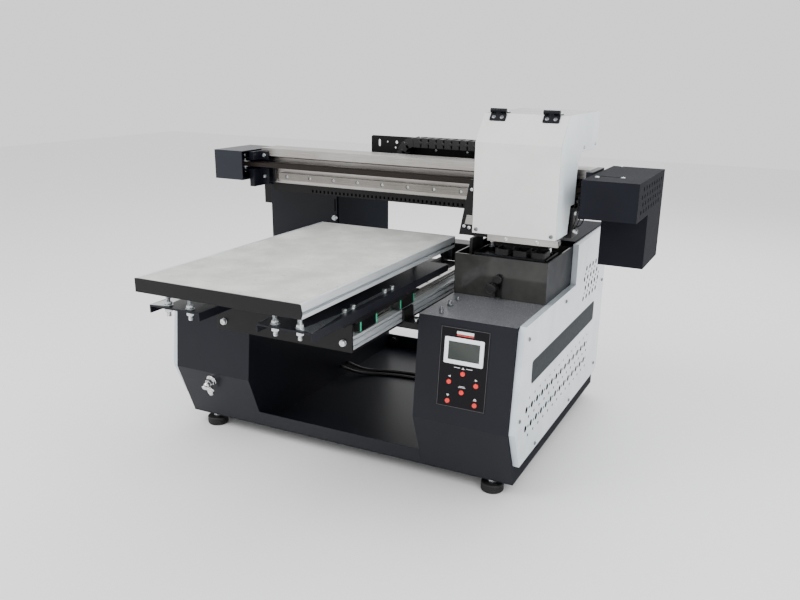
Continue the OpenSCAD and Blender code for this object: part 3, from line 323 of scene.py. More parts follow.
greyInk = moulded("screenInkGrey", "#4c4c4f", "#444447", 0.45, 2.0, 0.02)
bandInk = moulded("screenInkCharcoal", "#2b3034", "#252a2e", 0.50, 8.0, 0.02,
                  Specular_IOR_Level=0.05)
displayGlass = moulded("liquidCrystalGlass", "#2b322e", "#252b28", 0.12, 40.0, 0.01)
boardGreen = moulded("glassEpoxyGreen", "#245f40", "#1c5236", 0.42, 3.0, 0.1)
siliconeClear = moulded("siliconeMilky", "#d9dad6", "#c9cac6", 0.30, 4.0, 0.05)
blueWire = moulded("pvcBlue", "#2450b0", "#1d449c", 0.40, 2.0, 0.05)
boardGrey = moulded("boardGrey", "#95989b", "#86898c", 0.55, 2.5, 0.1)
foamAndVentShade = moulded("polyurethaneFoamAndVentShade", "#0b0b0c", "#050506", 0.85, 1.5, 0.6,
                     Specular_IOR_Level=0.0)
cableSheath = moulded("pvcCableSheath", "#1b1b1d", "#131315", 0.40, 2.0, 0.1)
bedSheet = printBedSheet()
smoked = smokedAcrylic()
# the smoked box's right side is painted dark and matt, without the acrylic's gloss: painted shade, where it faces
# away from the glare
smokedSidePaintedShade = moulded("smokedAcrylicPaintedShade", "#2b2e33", "#212428", 0.42, 45.0, 0.02, Specular_IOR_Level=0.05)
print("materials ready")

finishes = [
    (blueBlackPowder, "base_pan column_left column_right upright_front_panel table_channels"
     " idler_bracket motor_plate"),
    (deepPowder, "upright_left upright_right"),
    (footRubber, "feet pan_cables"),
    (glossEnamel, "side_cover_left side_cover_right"),
    (zincSteel, "screws levelling_bolts"),
    (labelFilm, "control_label"),
    (absSilver, "display"),
    (chromedBrass, "drain_valve drain_handle"),
    (turnedAluminium, "electronics y_drive_pulley y_idler_pulley idler_pulley x_motor_pulley"
     " x_drive_pulley"),
    (blackPowder, "deck_plate y_front_plate table_carriage gantry_shelf cable_trough carriage_frame"),
    (extrudedAluminium, "y_extrusions table_profiles"),
    (groundSteelLong, "y_rails"),
    (beltRubber, "y_belt x_belts"),
    (absBlack, "y_motor x_motor print_heads cap_base"),
    (blackenedSteel, "y_blocks cap_tray"),
    (sealRubber, "y_seals"),
    (bedSheet, "table_panel"),
    (brushedAluminium, "beam"),
    (groundSteel, "x_rail"),
    (boxPowder, "idler_box"),
    (motorPowder, "motor_box"),
    (nylonBlack, "chain_lower chain_bend chain_upper"),
    (hoodSidePaintedBlueLight, "hood_body"),
    (satinEnamel, "hood_flap"),
    (smoked, "capping_cover"),
]
finishOf = {name: material for material, names in finishes for name in names.split()}
for name in nodes:
    material = absRed if name.startswith("button") else finishOf[name]
    nodes[name].data.materials.clear()
    nodes[name].data.materials.append(material)


def paintFaces(name, material, chosen):
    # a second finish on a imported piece: the faces whose middle, in the machine's millimetres, is chosen
    data = nodes[name].data
    data.materials.append(material)
    for face in data.polygons:
        x, y, z = (face.center - at(0, 0, 0)) * 1000
        if chosen(x, y, z, face.normal):
            face.material_index = len(data.materials) - 1


tableLow, tableHigh = nodeBox("table_profiles")
panelLow, panelHigh = nodeBox("table_panel")
channelTop = nodeBox("table_channels")[1].z
deckBottom = nodeBox("deck_plate")[0].z
columnHigh = nodeBox("column_right")[1]
hoodTop = 702
endCap = 3.2  # thickness of the caps on the table's edge profiles
paintFaces("table_profiles", blackPowder,
           lambda x, y, z, n: not tableLow.y + endCap < y < tableHigh.y - endCap)
paintFaces("table_panel", boardGrey, lambda x, y, z, n: z < panelHigh.z - 0.1)
paintFaces("hood_body", blackenedSteel, lambda x, y, z, n: z > hoodTop + 0.2)
# the hood's top face is painted grey: painted shade
paintFaces("hood_body", hoodTopPaintedShade, lambda x, y, z, n: n.z > 0.9 and abs(z - hoodTop) < 0.1)
paintFaces("hood_flap", blackenedSteel, lambda x, y, z, n: z > hoodTop - 3.5 and not 300 < x < 370)
paintFaces("carriage_frame", brushedAluminium, lambda x, y, z, n: y < -139.8 and z < 490.2 and x > 285)
paintFaces("carriage_frame", blackenedSteel, lambda x, y, z, n: y > -9.2 and z < 560)
paintFaces("carriage_frame", turnedAluminium,
           lambda x, y, z, n: 311 < x < 353 and -46 < y < -17 and 557 < z < 583)
paintFaces("y_seals", nylonBlack,
           lambda x, y, z, n: abs(n.y) > 0.9 and min(abs(y + 340.0), abs(y + 190.0)) > 30)
for side in ("left", "right"):
    # the column tops get the lighter powder with painted highlights
    paintFaces("column_" + side, columnTopPaintedLight, lambda x, y, z, n: n.z > 0.9 and z > columnHigh.z - 0.1)
    # the walls of the vents are painted near black with the foam finish and no reflection: painted shade
    paintFaces("side_cover_" + side, foamAndVentShade, lambda x, y, z, n: abs(n.x) < 0.5 and (
        -200 < y < 262 and 112 < z < 192 or 172 < y < 312 and 290 < z < 375))
paintFaces("table_channels", zincSteel, lambda x, y, z, n: z > channelTop - 5.1 and 140 < abs(x) < 150)
paintFaces("deck_plate", zincSteel,
           lambda x, y, z, n: z > deckBottom + 13.1 and 164 < abs(x) < 174 and z < 330)
paintFaces("upright_front_panel", zincSteel, lambda x, y, z, n: y < 117.4 or y > 120.2)
paintFaces("y_front_plate", zincSteel, lambda x, y, z, n: y < -392.1)
paintFaces("idler_bracket", zincSteel, lambda x, y, z, n: abs(x + 352) < 4.2 and abs(y + 15) < 4.2)
paintFaces("motor_plate", zincSteel, lambda x, y, z, n: abs(x - 470) < 5.2 and abs(y + 15) < 5.2)
# the right side of the smoked box: painted shade
paintFaces("capping_cover", smokedSidePaintedShade, lambda x, y, z, n: n.x > 0.9)
# the right face of the right column gets the darker charcoal powder with almost no reflection: painted shade
paintFaces("column_right", motorPowder, lambda x, y, z, n: n.x > 0.9 and x > columnHigh.x - 0.5)
paintFaces("cap_base", zincSteel, lambda x, y, z, n: abs(y - 5) < 4.2 and z > 392.2)
paintFaces("cap_base", siliconeClear, lambda x, y, z, n: abs(y - 72) < 3.2)
paintFaces("y_motor", zincSteel, lambda x, y, z, n: abs(y + 355) < 4.2 and abs(z - 335) < 4.2)
print("packed pieces finished")


# The maker's own shapes, all drawn in the machine's millimetres
def addVerts(mesh, points):
    return [mesh.verts.new(p) for p in points]


def skinLoops(mesh, loops, paint=0):
    # a face over the first and the last loop of corners, and a band of faces from each loop to the next
    faces = [loops[0][::-1], loops[-1]]
    for low, high in zip(loops, loops[1:]):
        for k in range(len(low)):
            n = (k + 1) % len(low)
            faces.append([low[k], low[n], high[n], high[k]])
    for face in faces:
        mesh.faces.new(face).material_index = paint


def boxFaces(mesh, corners, paint=0):
    # six faces over eight corners, given with the first axis running fastest
    for face in ((0, 2, 3, 1), (4, 5, 7, 6), (0, 1, 5, 4), (2, 6, 7, 3), (0, 4, 6, 2), (1, 3, 7, 5)):
        mesh.faces.new([corners[i] for i in face]).material_index = paint


def addBox(mesh, x, y, z, paint=0):
    corners = addVerts(mesh, [(a, b, c) for c in z for b in y for a in x])
    boxFaces(mesh, corners, paint)
    return corners


def addPrism(mesh, outline, axis, start, end, paint=0):
    # an outline drawn across one axis, pulled from start to end
    order = {"x": lambda a, b, c: (c, a, b), "y": lambda a, b, c: (a, c, b), "z": lambda a, b, c: (a, b, c)}
    skinLoops(mesh, [addVerts(mesh, [order[axis](a, b, c) for a, b in outline]) for c in (start, end)], paint)


def roundedOutline(a, b, radius, steps=5):
    # a rectangle from corner a to corner b with rounded corners
    corners = [(b[0] - radius, b[1] - radius, 0), (a[0] + radius, b[1] - radius, 90),
               (a[0] + radius, a[1] + radius, 180), (b[0] - radius, a[1] + radius, 270)]
    points = []
    for x, y, turn in corners:
        for k in range(steps + 1):
            angle = math.radians(turn + 90 * k / steps)
            points.append((x + radius * math.cos(angle), y + radius * math.sin(angle)))
    return points


def sixSided(angle):
    return math.cos(math.pi / 6) / math.cos(angle % (math.pi / 3) - math.pi / 6)


def crossed(angle):
    s, c = max(abs(math.sin(angle)), 0.01), max(abs(math.cos(angle)), 0.01)
    return max(min(0.28 / s, 1 / c), min(0.28 / c, 1 / s))


def ribbed(angle):
    return 1 + 0.05 * math.cos(14 * angle)


def addTurned(mesh, place, axis, profile, sides=24, paint=0):
    # a turned part: radius, height and perhaps a shape for each ring, about an axis
    turn = Vector((0, 0, 1)).rotation_difference(Vector(axis)).to_matrix().to_4x4()
    where = Matrix.Translation(Vector(place)) @ turn
    rings = []
    for radius, height, *shape in profile:
        ring = []
        for k in range(sides):
            angle = 2 * math.pi * k / sides
            reach = radius * (shape[0](angle) if shape else 1)
            ring.append(where @ Vector((reach * math.cos(angle), reach * math.sin(angle), height)))
        rings.append(addVerts(mesh, ring))
    skinLoops(mesh, rings, paint)


def addPanHead(mesh, place, axis, width=8.0, height=2.5, paint=0):
    r, h = width / 2, height
    profile = [(r * 0.96, -0.5), (r, 0.3), (r * 0.93, h * 0.62), (r * 0.72, h * 0.92), (r * 0.58, h),
               (r * 0.56, h, crossed), (r * 0.4, h * 0.45, crossed)]
    addTurned(mesh, place, axis, profile, 32, paint)


def addSocketHead(mesh, place, axis, width=9.0, height=5.0, paint=0):
    r, h = width / 2, height
    profile = [(r, -0.5), (r, h - 0.6), (r * 0.9, h), (r * 0.58, h, sixSided), (r * 0.56, h * 0.4, sixSided)]
    addTurned(mesh, place, axis, profile, 24, paint)


def addHexHead(mesh, place, axis, width=13.0, height=6.0, paint=0):
    r, h = width / 2, height
    profile = [(r * 0.88, 0), (r, 0.9, sixSided), (r, h - 0.9, sixSided), (r * 0.86, h)]
    addTurned(mesh, place, axis, profile, 24, paint)


def addThread(mesh, place, axis, width, length, pitch=2.0, paint=0):
    # thread drawn as rings, coarser than the real one so that it shows
    profile, z = [], 0.0
    while z < length - pitch:
        profile += [(width / 2 - 0.55, z), (width / 2, z + pitch / 2)]
        z += pitch
    addTurned(mesh, place, axis, profile + [(width / 2 - 0.55, length)], 16, paint)


def makePiece(name, mesh, materials, body, replaced=(), bevel=0.0, smooth=35):
    # one finished piece: scaled to metres, edges softened, riding on its body
    bmesh.ops.recalc_face_normals(mesh, faces=mesh.faces)
    mesh.transform(Matrix.Translation(at(0, 0, 0)) @ Matrix.Scale(0.001, 4))
    data = bpy.data.meshes.new(name)
    mesh.to_mesh(data)
    mesh.free()
    for material in materials:
        data.materials.append(material)
    data.shade_smooth()
    data.set_sharp_from_angle(angle=math.radians(smooth))
    obj = bpy.data.objects.new(name, data)
    bpy.context.scene.collection.objects.link(obj)
    if bevel:
        soft = obj.modifiers.new("softEdges", "BEVEL")
        soft.width, soft.segments, soft.limit_method = mm(bevel), 2, "ANGLE"
    if body:
        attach(obj, body)
    if replaced:
        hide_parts(*replaced)
    return obj


def smoothPath(points, steps=4):
    # extra points on one smooth line through the given ones
    ends = [Vector(p) for p in points]
    full = [ends[0] * 2 - ends[1]] + ends + [ends[-1] * 2 - ends[-2]]
    line = []
    for a, b, c, d in zip(full, full[1:], full[2:], full[3:]):
        for k in range(steps):
            t = k / steps
            line.append(0.5 * (2 * b + (c - a) * t + (2 * a - 5 * b + 4 * c - d) * t * t
                               + (3 * b - a - 3 * c + d) * t ** 3))
    return line + [ends[-1]]


def makeWire(name, points, radius, material, body):
    data = bpy.data.curves.new(name, "CURVE")
    data.dimensions = "3D"
    data.bevel_depth = mm(radius)
    data.bevel_resolution = 4
    data.use_fill_caps = True
    line = [at(*p) for p in smoothPath(points)]
    spline = data.splines.new("POLY")
    spline.points.add(len(line) - 1)
    for point, place in zip(spline.points, line):
        point.co = (*place, 1)
    spline.use_smooth = True
    data.materials.append(material)
    obj = bpy.data.objects.new(name, data)
    bpy.context.scene.collection.objects.link(obj)
    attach(obj, body)
    length = sum((b - a).length for a, b in zip(line, line[1:]))
    return obj, line, length


# Two cables lie in the pan, from the left column's wall to the right one's
panCables = {
    "width": 7.0, "gland": (-172, 369, 52),
    "rear": [(-189.5, 152, 58), (-183, 152.5, 57.6), (-172, 157, 52), (-156, 168, 43), (-134, 182, 37.5),
             (-108, 194, 36.4), (-74, 204, 36.2), (-30, 211, 36.2), (24, 214, 36.2), (84, 209, 36.2),
             (128, 199, 37), (156, 189, 43), (173, 181, 51), (183, 177.5, 55.6), (189.5, 177, 56)],
    "front": [(-189.5, 120, 58), (-183, 120.5, 57.6), (-172, 126, 52), (-156, 139, 43), (-134, 154, 37.5),
              (-108, 168, 36.4), (-74, 179, 36.2), (-30, 185, 36.2), (24, 186, 36.2), (84, 181, 36.2),
              (128, 172, 37), (156, 163, 43), (173, 156, 51), (183, 152.5, 55.6), (189.5, 152, 56)]}


def makePanCables():
    for side in ("rear", "front"):
        width = panCables["width"]
        cable, line, length = makeWire("panCable." + side, panCables[side], width / 2, cableSheath,
                                       "chassis")
        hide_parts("pan_cables")
    mesh = bmesh.new()
    addTurned(mesh, panCables["gland"], (0, 1, 0),
              [(9.7, 0), (9.7, 9), (14, 9), (14, 9.4), (9.7, 9.4), (9.7, 12), (9.5, 12.4, sixSided),
               (9.5, 15, sixSided), (7.4, 17.4), (4.5, 17.8), (4.2, 12)], 36)
    makePiece("cableGland", mesh, [nylonBlack], "chassis", smooth=30)


makePanCables()
print("cables laid")

covers = {"screws": [(-195, 320), (40, 330), (350, 305), (345, 425), (-225, 172), (-120, 84), (120, 84),
                     (335, 100)],
          "face": 392, "band": ((-168, 224), (288, 269)), "bandRadius": 7, "bandThick": 0.35,
          "topBolts": [(220, -117, 9), (221, -157, 13), (218, -191, 9), (227, -211, 9)]}


def makeCoverFittings():
    mesh = bmesh.new()
    for side in (-1, 1):
        for y, z in covers["screws"]:
            if side < 0 and z > columnHigh.z:
                continue
            addPanHead(mesh, (side * covers["face"], y, z), (side, 0, 0))
            addTurned(mesh, (side * (covers["face"] - 15), y, z), (side, 0, 0), [(2, 0), (2, 14.6)], 12)
    for x, y, width in covers["topBolts"]:
        addHexHead(mesh, (x, y, columnHigh.z), (0, 0, 1), width, width * 0.34)
        addThread(mesh, (x, y, columnHigh.z), (0, 0, 1), width * 0.6, width * 0.85, 1.4)
    makePiece("coverScrews", mesh, [stainless], "chassis", ["screws"])
    for side, name in ((-1, "left"), (1, "right")):
        mesh = bmesh.new()
        a, b = covers["band"]
        inner, outer = (side * (covers["face"] + depth) for depth in (-0.2, covers["bandThick"]))
        addPrism(mesh, roundedOutline(a, b, covers["bandRadius"]), "x", inner, outer)
        makePiece("coverBand." + name, mesh, [bandInk], "chassis", bevel=0.1)


filters = {"thick": 1.2, "behind": 1.3, "low": ((-200, 112), (262, 208)), "high": ((172, 290), (306, 378)),
           "leftHigh": ((172, 290), (306, 341)), "strip": (-196, 422), "stripUp": (52, 65),
           "stripDepth": (15.1, 16.1)}


def makeFilters():
    # black foam sheets inside the covers, which make the vents dark
    for side, name in ((-1, "left"), (1, "right")):
        mesh = bmesh.new()
        outer = covers["face"] - filters["behind"]
        for a, b in (filters["low"], filters["high"] if side > 0 else filters["leftHigh"]):
            addPrism(mesh, roundedOutline(a, b, 3), "x", side * (outer - filters["thick"]), side * outer)
        makePiece("ventFilter." + name, mesh, [foamAndVentShade], "chassis")
    shelf = nodeBox("gantry_shelf")[0].z
    (x0, x1), (z0, z1) = filters["strip"], filters["stripUp"]
    mesh = bmesh.new()
    addPrism(mesh, roundedOutline((x0, shelf + z0), (x1, shelf + z1), 1), "y", *filters["stripDepth"])
    makePiece("stripLiner", mesh, [foamAndVentShade], "chassis")


makeCoverFittings()
makeFilters()

panel = {"creaseY": -250, "creaseZ": 150, "lean": math.atan2(21, 198), "labelX": (237, 332),
         "labelUp": (34, 184), "screenX": (246.5, 322.5), "screenUp": (117, 166), "capRadius": 4.5,
         "markAbove": 8.4, "nameBar": (268, 301, 172.5, 178), "redBar": (268, 301, 169.4, 171),
         "buttons": {"button_up": (285, 100), "button_left": (259, 82), "button_right": (312, 82),
                     "button_feed": (285, 65), "button_out": (258.5, 45.5), "button_enter": (312, 45.5)}}


def onPanel(x, up, out=0.0):
    c, s = math.cos(panel["lean"]), math.sin(panel["lean"])
    return Vector((x, panel["creaseY"] - out * c + up * s, panel["creaseZ"] + out * s + up * c))


def addPanelRings(mesh, rings, paint=0):
    # rectangles given by inset and height over the panel, joined ring to ring
    (x0, x1), (u0, u1) = panel["screenX"], panel["screenUp"]
    loops = []
    for inset, out in rings:
        radius = max(0.4, 2.0 - inset * 0.3)
        outline = roundedOutline((x0 + inset, u0 + inset), (x1 - inset, u1 - inset), radius, 3)
        loops.append(addVerts(mesh, [onPanel(x, up, out) for x, up in outline]))
    skinLoops(mesh, loops, paint)


def addMark(mesh, outline, paint=0):
    # a printed mark, from just inside the label film to just above it
    loops = [addVerts(mesh, [onPanel(x, up, out) for x, up in outline]) for out in (0.95, 1.12)]
    skinLoops(mesh, loops, paint)


def rectangle(x0, x1, y0, y1):
    return [(x0, y0), (x1, y0), (x1, y1), (x0, y1)]


def makeControls():
    outward = Vector((0, -math.cos(panel["lean"]), math.sin(panel["lean"])))
    r = panel["capRadius"]
    for name, (x, up) in panel["buttons"].items():
        mesh = bmesh.new()
        profile = [(r + 2, -5.4), (r + 2, -3.6), (r, -3.5), (r, 2.3), (r * 0.95, 2.7), (r * 0.8, 3.0),
                   (r * 0.5, 3.17), (r * 0.1, 3.2)]
        addTurned(mesh, onPanel(x, up), outward, profile, 40)
        makePiece("cap." + name, mesh, [absRed], bodyOf[name], [name])
    mesh = bmesh.new()
    addPanelRings(mesh, [(0, 1.0), (0, 3.4), (0.6, 4.0), (5.6, 4.0), (7.5, 2.6)], 0)
    addPanelRings(mesh, [(6.5, 1.5), (6.5, 2.7)], 1)
    board = addBox(mesh, panel["screenX"], (0, 1.6), panel["labelUp"], 2)
    for vert in board:
        vert.co = onPanel(vert.co.x, vert.co.z, -9 - vert.co.y)
    makePiece("displayFrame", mesh, [absSilver, displayGlass, boardGreen], "chassis",
              ["display"])
    mesh = bmesh.new()
    (x0, x1), (u0, u1) = panel["labelX"], panel["labelUp"]
    near, far = 0.6, 1.4
    for edge in ((x0 + near, x1 - near, u0 + near, u0 + far), (x0 + near, x1 - near, u1 - far, u1 - near),
                 (x0 + near, x0 + far, u0 + far, u1 - far), (x1 - far, x1 - near, u0 + far, u1 - far)):
        addMark(mesh, rectangle(*edge), 1)
    for name, (x, up) in panel["buttons"].items():
        top = up + panel["markAbove"]
        if name == "button_up":
            addMark(mesh, [(x - 3, top), (x + 3, top), (x, top + 4)])
            for s in (-1, 1):
                addMark(mesh, rectangle(x + s * 12 - 6, x + s * 12 + 6, top + 1.4, top + 2.6))
        elif name == "button_left":
            addMark(mesh, [(x + 2.6, top), (x + 2.6, top + 4), (x - 2.6, top + 2)])
        elif name == "button_right":
            addMark(mesh, [(x - 2.6, top), (x + 2.6, top + 2), (x - 2.6, top + 4)])
        elif name == "button_feed":
            addMark(mesh, rectangle(x - 7, x + 7, top + 0.4, top + 1.4))
            addMark(mesh, rectangle(x - 5, x + 5, top + 2.4, top + 3.4))
        elif name == "button_out":
            addMark(mesh, [(x - 3, top + 4), (x, top), (x + 3, top + 4)])
        else:
            addMark(mesh, rectangle(x - 3, x + 3, top, top + 1.2))
            addMark(mesh, [(x - 3, top + 2), (x + 3, top + 2), (x, top + 4.6)])
    addMark(mesh, rectangle(*panel["nameBar"]))
    addMark(mesh, rectangle(*panel["redBar"]), 2)
    makePiece("labelPrint", mesh, [whiteInk, greyInk, absRed], "chassis")


makeControls()
print("controls made")

legs = {"places": [(x, y) for x in (-332, 332) for y in (-184, 330)], "radius": 22.5, "top": 30}


def makeFeet():
    mesh = bmesh.new()
    r = legs["radius"]
    for x, y in legs["places"]:
        ribs = [(r - 2.5, 0), (r - 0.8, 1.2), (r, 3)]
        for z in (5, 8.5, 12):
            ribs += [(r, z), (r - 0.9, z + 0.6), (r - 0.9, z + 1.6), (r, z + 2.2)]
        addTurned(mesh, (x, y, 0), (0, 0, 1), ribs + [(r, 16.4), (r - 1.4, 18), (9, 18.2), (8.6, 17)], 48)
        addHexHead(mesh, (x, y, 17.5), (0, 0, 1), 19, 5.5, 1)
        addThread(mesh, (x, y, 22), (0, 0, 1), 10, legs["top"] - 21.9, 1.8, 1)
    makePiece("rubberFeet", mesh, [footRubber, zincSteel], "chassis", ["feet"])


makeFeet()

levelling = {"places": [(84, -526), (130, -526), (97, -60)], "bolt": 8}


def makeLevellingBolts():
    mesh = bmesh.new()
    low, high = channelTop - 5, panelLow.z
    for side in (-1, 1):
        for x, y in levelling["places"]:
            place = lambda z: (side * x, y, z)
            addThread(mesh, place(low - 19), (0, 0, 1), levelling["bolt"], high - low + 18, 1.8)
            addHexHead(mesh, place(low + 0.8), (0, 0, 1))
            addTurned(mesh, place(low), (0, 0, 1), [(7.6, 0), (7.9, 0.2), (7.9, 0.8), (7.5, 1)], 32)
            addHexHead(mesh, place(low - 3 - 7.5), (0, 0, 1))
            addTurned(mesh, place(low - 4), (0, 0, 1), [(7.5, 0), (7.9, 0.2), (7.9, 0.8), (7.6, 1)], 32)
            addTurned(mesh, place(high - 3), (0, 0, 1), [(7, 0), (8, 0.4), (8, 2.6), (7.6, 3)], 32)
    node = "levelling_bolts"
    makePiece("levellingBolts", mesh, [zincSteel], bodyOf[node], [node])


makeLevellingBolts()

fasteners = {
    "railPitch": 60, "crossRail": (-250.5, 425, 539), "tableRail": (-353, 340, 123),
    "frontPlate": [(s * 126, -392, 330) for s in (-1, 1)],
    "slotBolt": (-198, 114.5, 434), "trough": [(116, 600), (40, 600), (-196, 575)], "troughFace": 161.6,
    "motorTop": [(462, -82, 598), (464, 104, 598), (503, -61, 596.5)],
    "beamEnd": [(-302, -8, 538), (-302, -8, 584)]}


def makeFasteners():
    mesh = bmesh.new()
    x, end, z = fasteners["crossRail"]
    while x < end:
        addSocketHead(mesh, (x, 5.2, z), (0, -1, 0), 6.8, 3.2)
        x += fasteners["railPitch"]
    top = nodeBox("y_rails")[1].z
    y, end, across = fasteners["tableRail"]
    while y < end:
        for side in (-1, 1):
            addSocketHead(mesh, (side * across, y, top - 5.2), (0, 0, 1), 6.8, 3.0)
        y += fasteners["railPitch"]
    makePiece("railScrews", mesh, [zincSteel], "chassis")
    mesh = bmesh.new()
    for place in fasteners["frontPlate"] + [fasteners["slotBolt"]]:
        addTurned(mesh, place, (0, -1, 0), [(5.8, 0), (6, 0.3), (6, 0.8), (5.7, 1)], 28)
        addSocketHead(mesh, Vector(place) + Vector((0, -0.8, 0)), (0, -1, 0), 9.4, 5)
    for x, y, z in fasteners["beamEnd"]:
        addSocketHead(mesh, (x, y - 0.5, z), (0, -1, 0), 8, 4.5)
    for place in fasteners["motorTop"]:
        addPanHead(mesh, place, (0, 0, 1), 8.5, 2.4)
    for x, z in fasteners["trough"]:
        addPanHead(mesh, (x, fasteners["troughFace"], z), (0, -1, 0), 6, 1.6)
    makePiece("machineScrews", mesh, [zincSteel], "chassis")


makeFasteners()

valve = {
    "x": -292, "z": 132, "creaseY": -205, "creaseZ": 30, "slope": (45, 120), "neck": 15, "spindle": 19.5,
    "body": [(5.7, -20), (5.7, -0.5), (11.6, -0.5), (12, 0.4), (12, 2.8), (11, 4), (8, 4.2), (7.2, 5),
             (7.5, 8), (9, 8.2, sixSided), (9, 14, sixSided), (7, 14.6), (7.4, 17), (6.4, 21), (4.6, 25), (3.2, 26)],
    "spout": [(5.2, 2), (5.4, 9), (6.4, 10, sixSided), (6.4, 15, sixSided), (5.6, 15.6), (5.6, 17), (6.3, 18),
              (5.4, 19.5), (6.3, 21), (5.4, 22.5), (6.2, 24), (5.2, 26), (5, 29), (3.4, 29), (3.4, 20)],
    "hub": [(2.5, 0), (2.5, 6.4), (5, 6.8), (5, 9.4), (4.2, 10.2), (1, 10.4)], "leverOut": (27.4, 29.4),
    "lever": [(-4.6, -4), (6, -4.4), (12, -2.6), (22, -3.4), (27, -2), (28, 0), (27, 2), (22, 3.4), (12, 2.6),
              (6, 4.4), (-4.6, 4)]}


def makeDrainValve():
    back, rise = valve["slope"]
    lean = math.atan2(back, rise)
    outward = Vector((0, -math.cos(lean), -math.sin(lean)))
    down = Vector((0, math.sin(lean), -math.cos(lean)))
    right = Vector((1, 0, 0))
    base = Vector((valve["x"], valve["creaseY"] - back * (valve["z"] - valve["creaseZ"]) / rise, valve["z"]))
    mesh = bmesh.new()
    addTurned(mesh, base, outward, valve["body"], 40)
    addTurned(mesh, base + outward * valve["neck"], down, valve["spout"], 32)
    makePiece("drainTap", mesh, [chromedBrass], "chassis", ["drain_valve"])
    mesh = bmesh.new()
    addTurned(mesh, base + outward * valve["spindle"], outward, valve["hub"], 28)
    # the lever lifts a little toward its tip
    skinLoops(mesh, [addVerts(mesh, [base + right * a - down * b + outward * (out + 0.05 * max(a, 0))
                                     for a, b in valve["lever"]]) for out in valve["leverOut"]])
    node = "drain_handle"
    makePiece("drainLever", mesh, [chromedBrass], bodyOf[node], [node], bevel=0.5)


makeDrainValve()
print("fittings made")

hood = {"left": 256, "right": 413, "front": -147, "slantLow": (-147, 653), "slantTop": (-107, 702),
        "leaves": [(269, 299), (367, 397)], "leafLong": 17, "cornerScrews": [(263, 497.5), (404.5, 497.5)],
        "sideScrews": [(88, 641), (4, 641)], "stripScrews": [(322, 484.5), (380, 484.5)],
        "hingeScrewY": -91, "clampScrew": (251, -143, 568), "sensorScrews": [(238, 500), (248, 498)],
        "bracketBolts": [(-54, 494), (-40, 490), (-52, 526)], "bracketFace": 419, "sensorFace": -143,
        "sensorPlate": [(239, 504), (243, 521), (254, 521), (254, 504)]}


def makeHoodFittings():
    (y0, z0), (y1, z1) = hood["slantLow"], hood["slantTop"]
    along = Vector((0, y1 - y0, z1 - z0)).normalized()
    outward = Vector((0, -along.z, along.y))
    crest = Vector((0, y1, z1))
    mesh = bmesh.new()
    for a, b in hood["leaves"]:
        corners = roundedOutline((a, 1.2), (b, hood["leafLong"]), 2.2, 4)
        skinLoops(mesh, [addVerts(mesh, [Vector((x, 0, 0)) + crest - along * d + outward * out
                                         for x, d in corners]) for out in (-0.1, 1.7)])
        for x in (a + 7.5, b - 7.5):
            addPanHead(mesh, Vector((x, 0, 0)) + crest - along * 9.6 + outward * 1.6, outward, 7.6, 1.5, 1)
    for x, z in hood["cornerScrews"]:
        addPanHead(mesh, (x, hood["front"], z), (0, -1, 0), 7.6, 2.0, 1)
    makePiece("hoodLeaves", mesh, [blackenedSteel, stainless], "flap", bevel=0.25)
    mesh = bmesh.new()
    for a, b in hood["leaves"]:
        for x in (a + 5, b - 5):
            addPanHead(mesh, (x, hood["hingeScrewY"], hoodTop + 2), (0, 0, 1), 7, 1.5)
    for side, x in ((-1, hood["left"]), (1, hood["right"])):
        for y, z in hood["sideScrews"]:
            addPanHead(mesh, (x, y, z), (side, 0, 0), 7, 1.8)
    for x, z in hood["stripScrews"]:
        addPanHead(mesh, (x, hood["front"], z), (0, -1, 0), 7, 1.6)
    addPanHead(mesh, hood["clampScrew"], (0, -1, 0), 6.5, 2)
    for x, z in hood["sensorScrews"]:
        addPanHead(mesh, (x, hood["sensorFace"], z), (0, -1, 0), 6.5, 2)
    for y, z in hood["bracketBolts"]:
        addSocketHead(mesh, (hood["bracketFace"], y, z), (1, 0, 0), 8, 5)
    makePiece("carriageScrews", mesh, [zincSteel], "carriage")
    mesh = bmesh.new()
    addPrism(mesh, hood["sensorPlate"], "y", hood["sensorFace"] - 0.8, hood["sensorFace"])
    addBox(mesh, (409, 418), (-144, -128), (481, 489))
    makePiece("sensorPlate", mesh, [brushedAluminium], "carriage", bevel=0.3)


makeHoodFittings()

heads = {
    "x": [270, 306, 342], "width": 28, "fittings": [(2.6, 0), (2.6, 3), (1.7, 3.4), (1.7, 7), (1.2, 7.2)],
    "wireStarts": [(302, -70), (309, -66), (330, -74)], "sideWires": [
        [(421, -34, 556), (427, -40, 552), (433, -52, 538), (431, -60, 518), (425, -58, 502), (420, -50, 498)],
        [(421, -30, 548), (430, -34, 542), (437, -44, 526), (433, -52, 508), (424, -46, 500), (420, -40, 500)],
        [(421, -42, 556), (426, -56, 550), (428, -68, 532), (424, -66, 512), (420, -58, 505)]]}


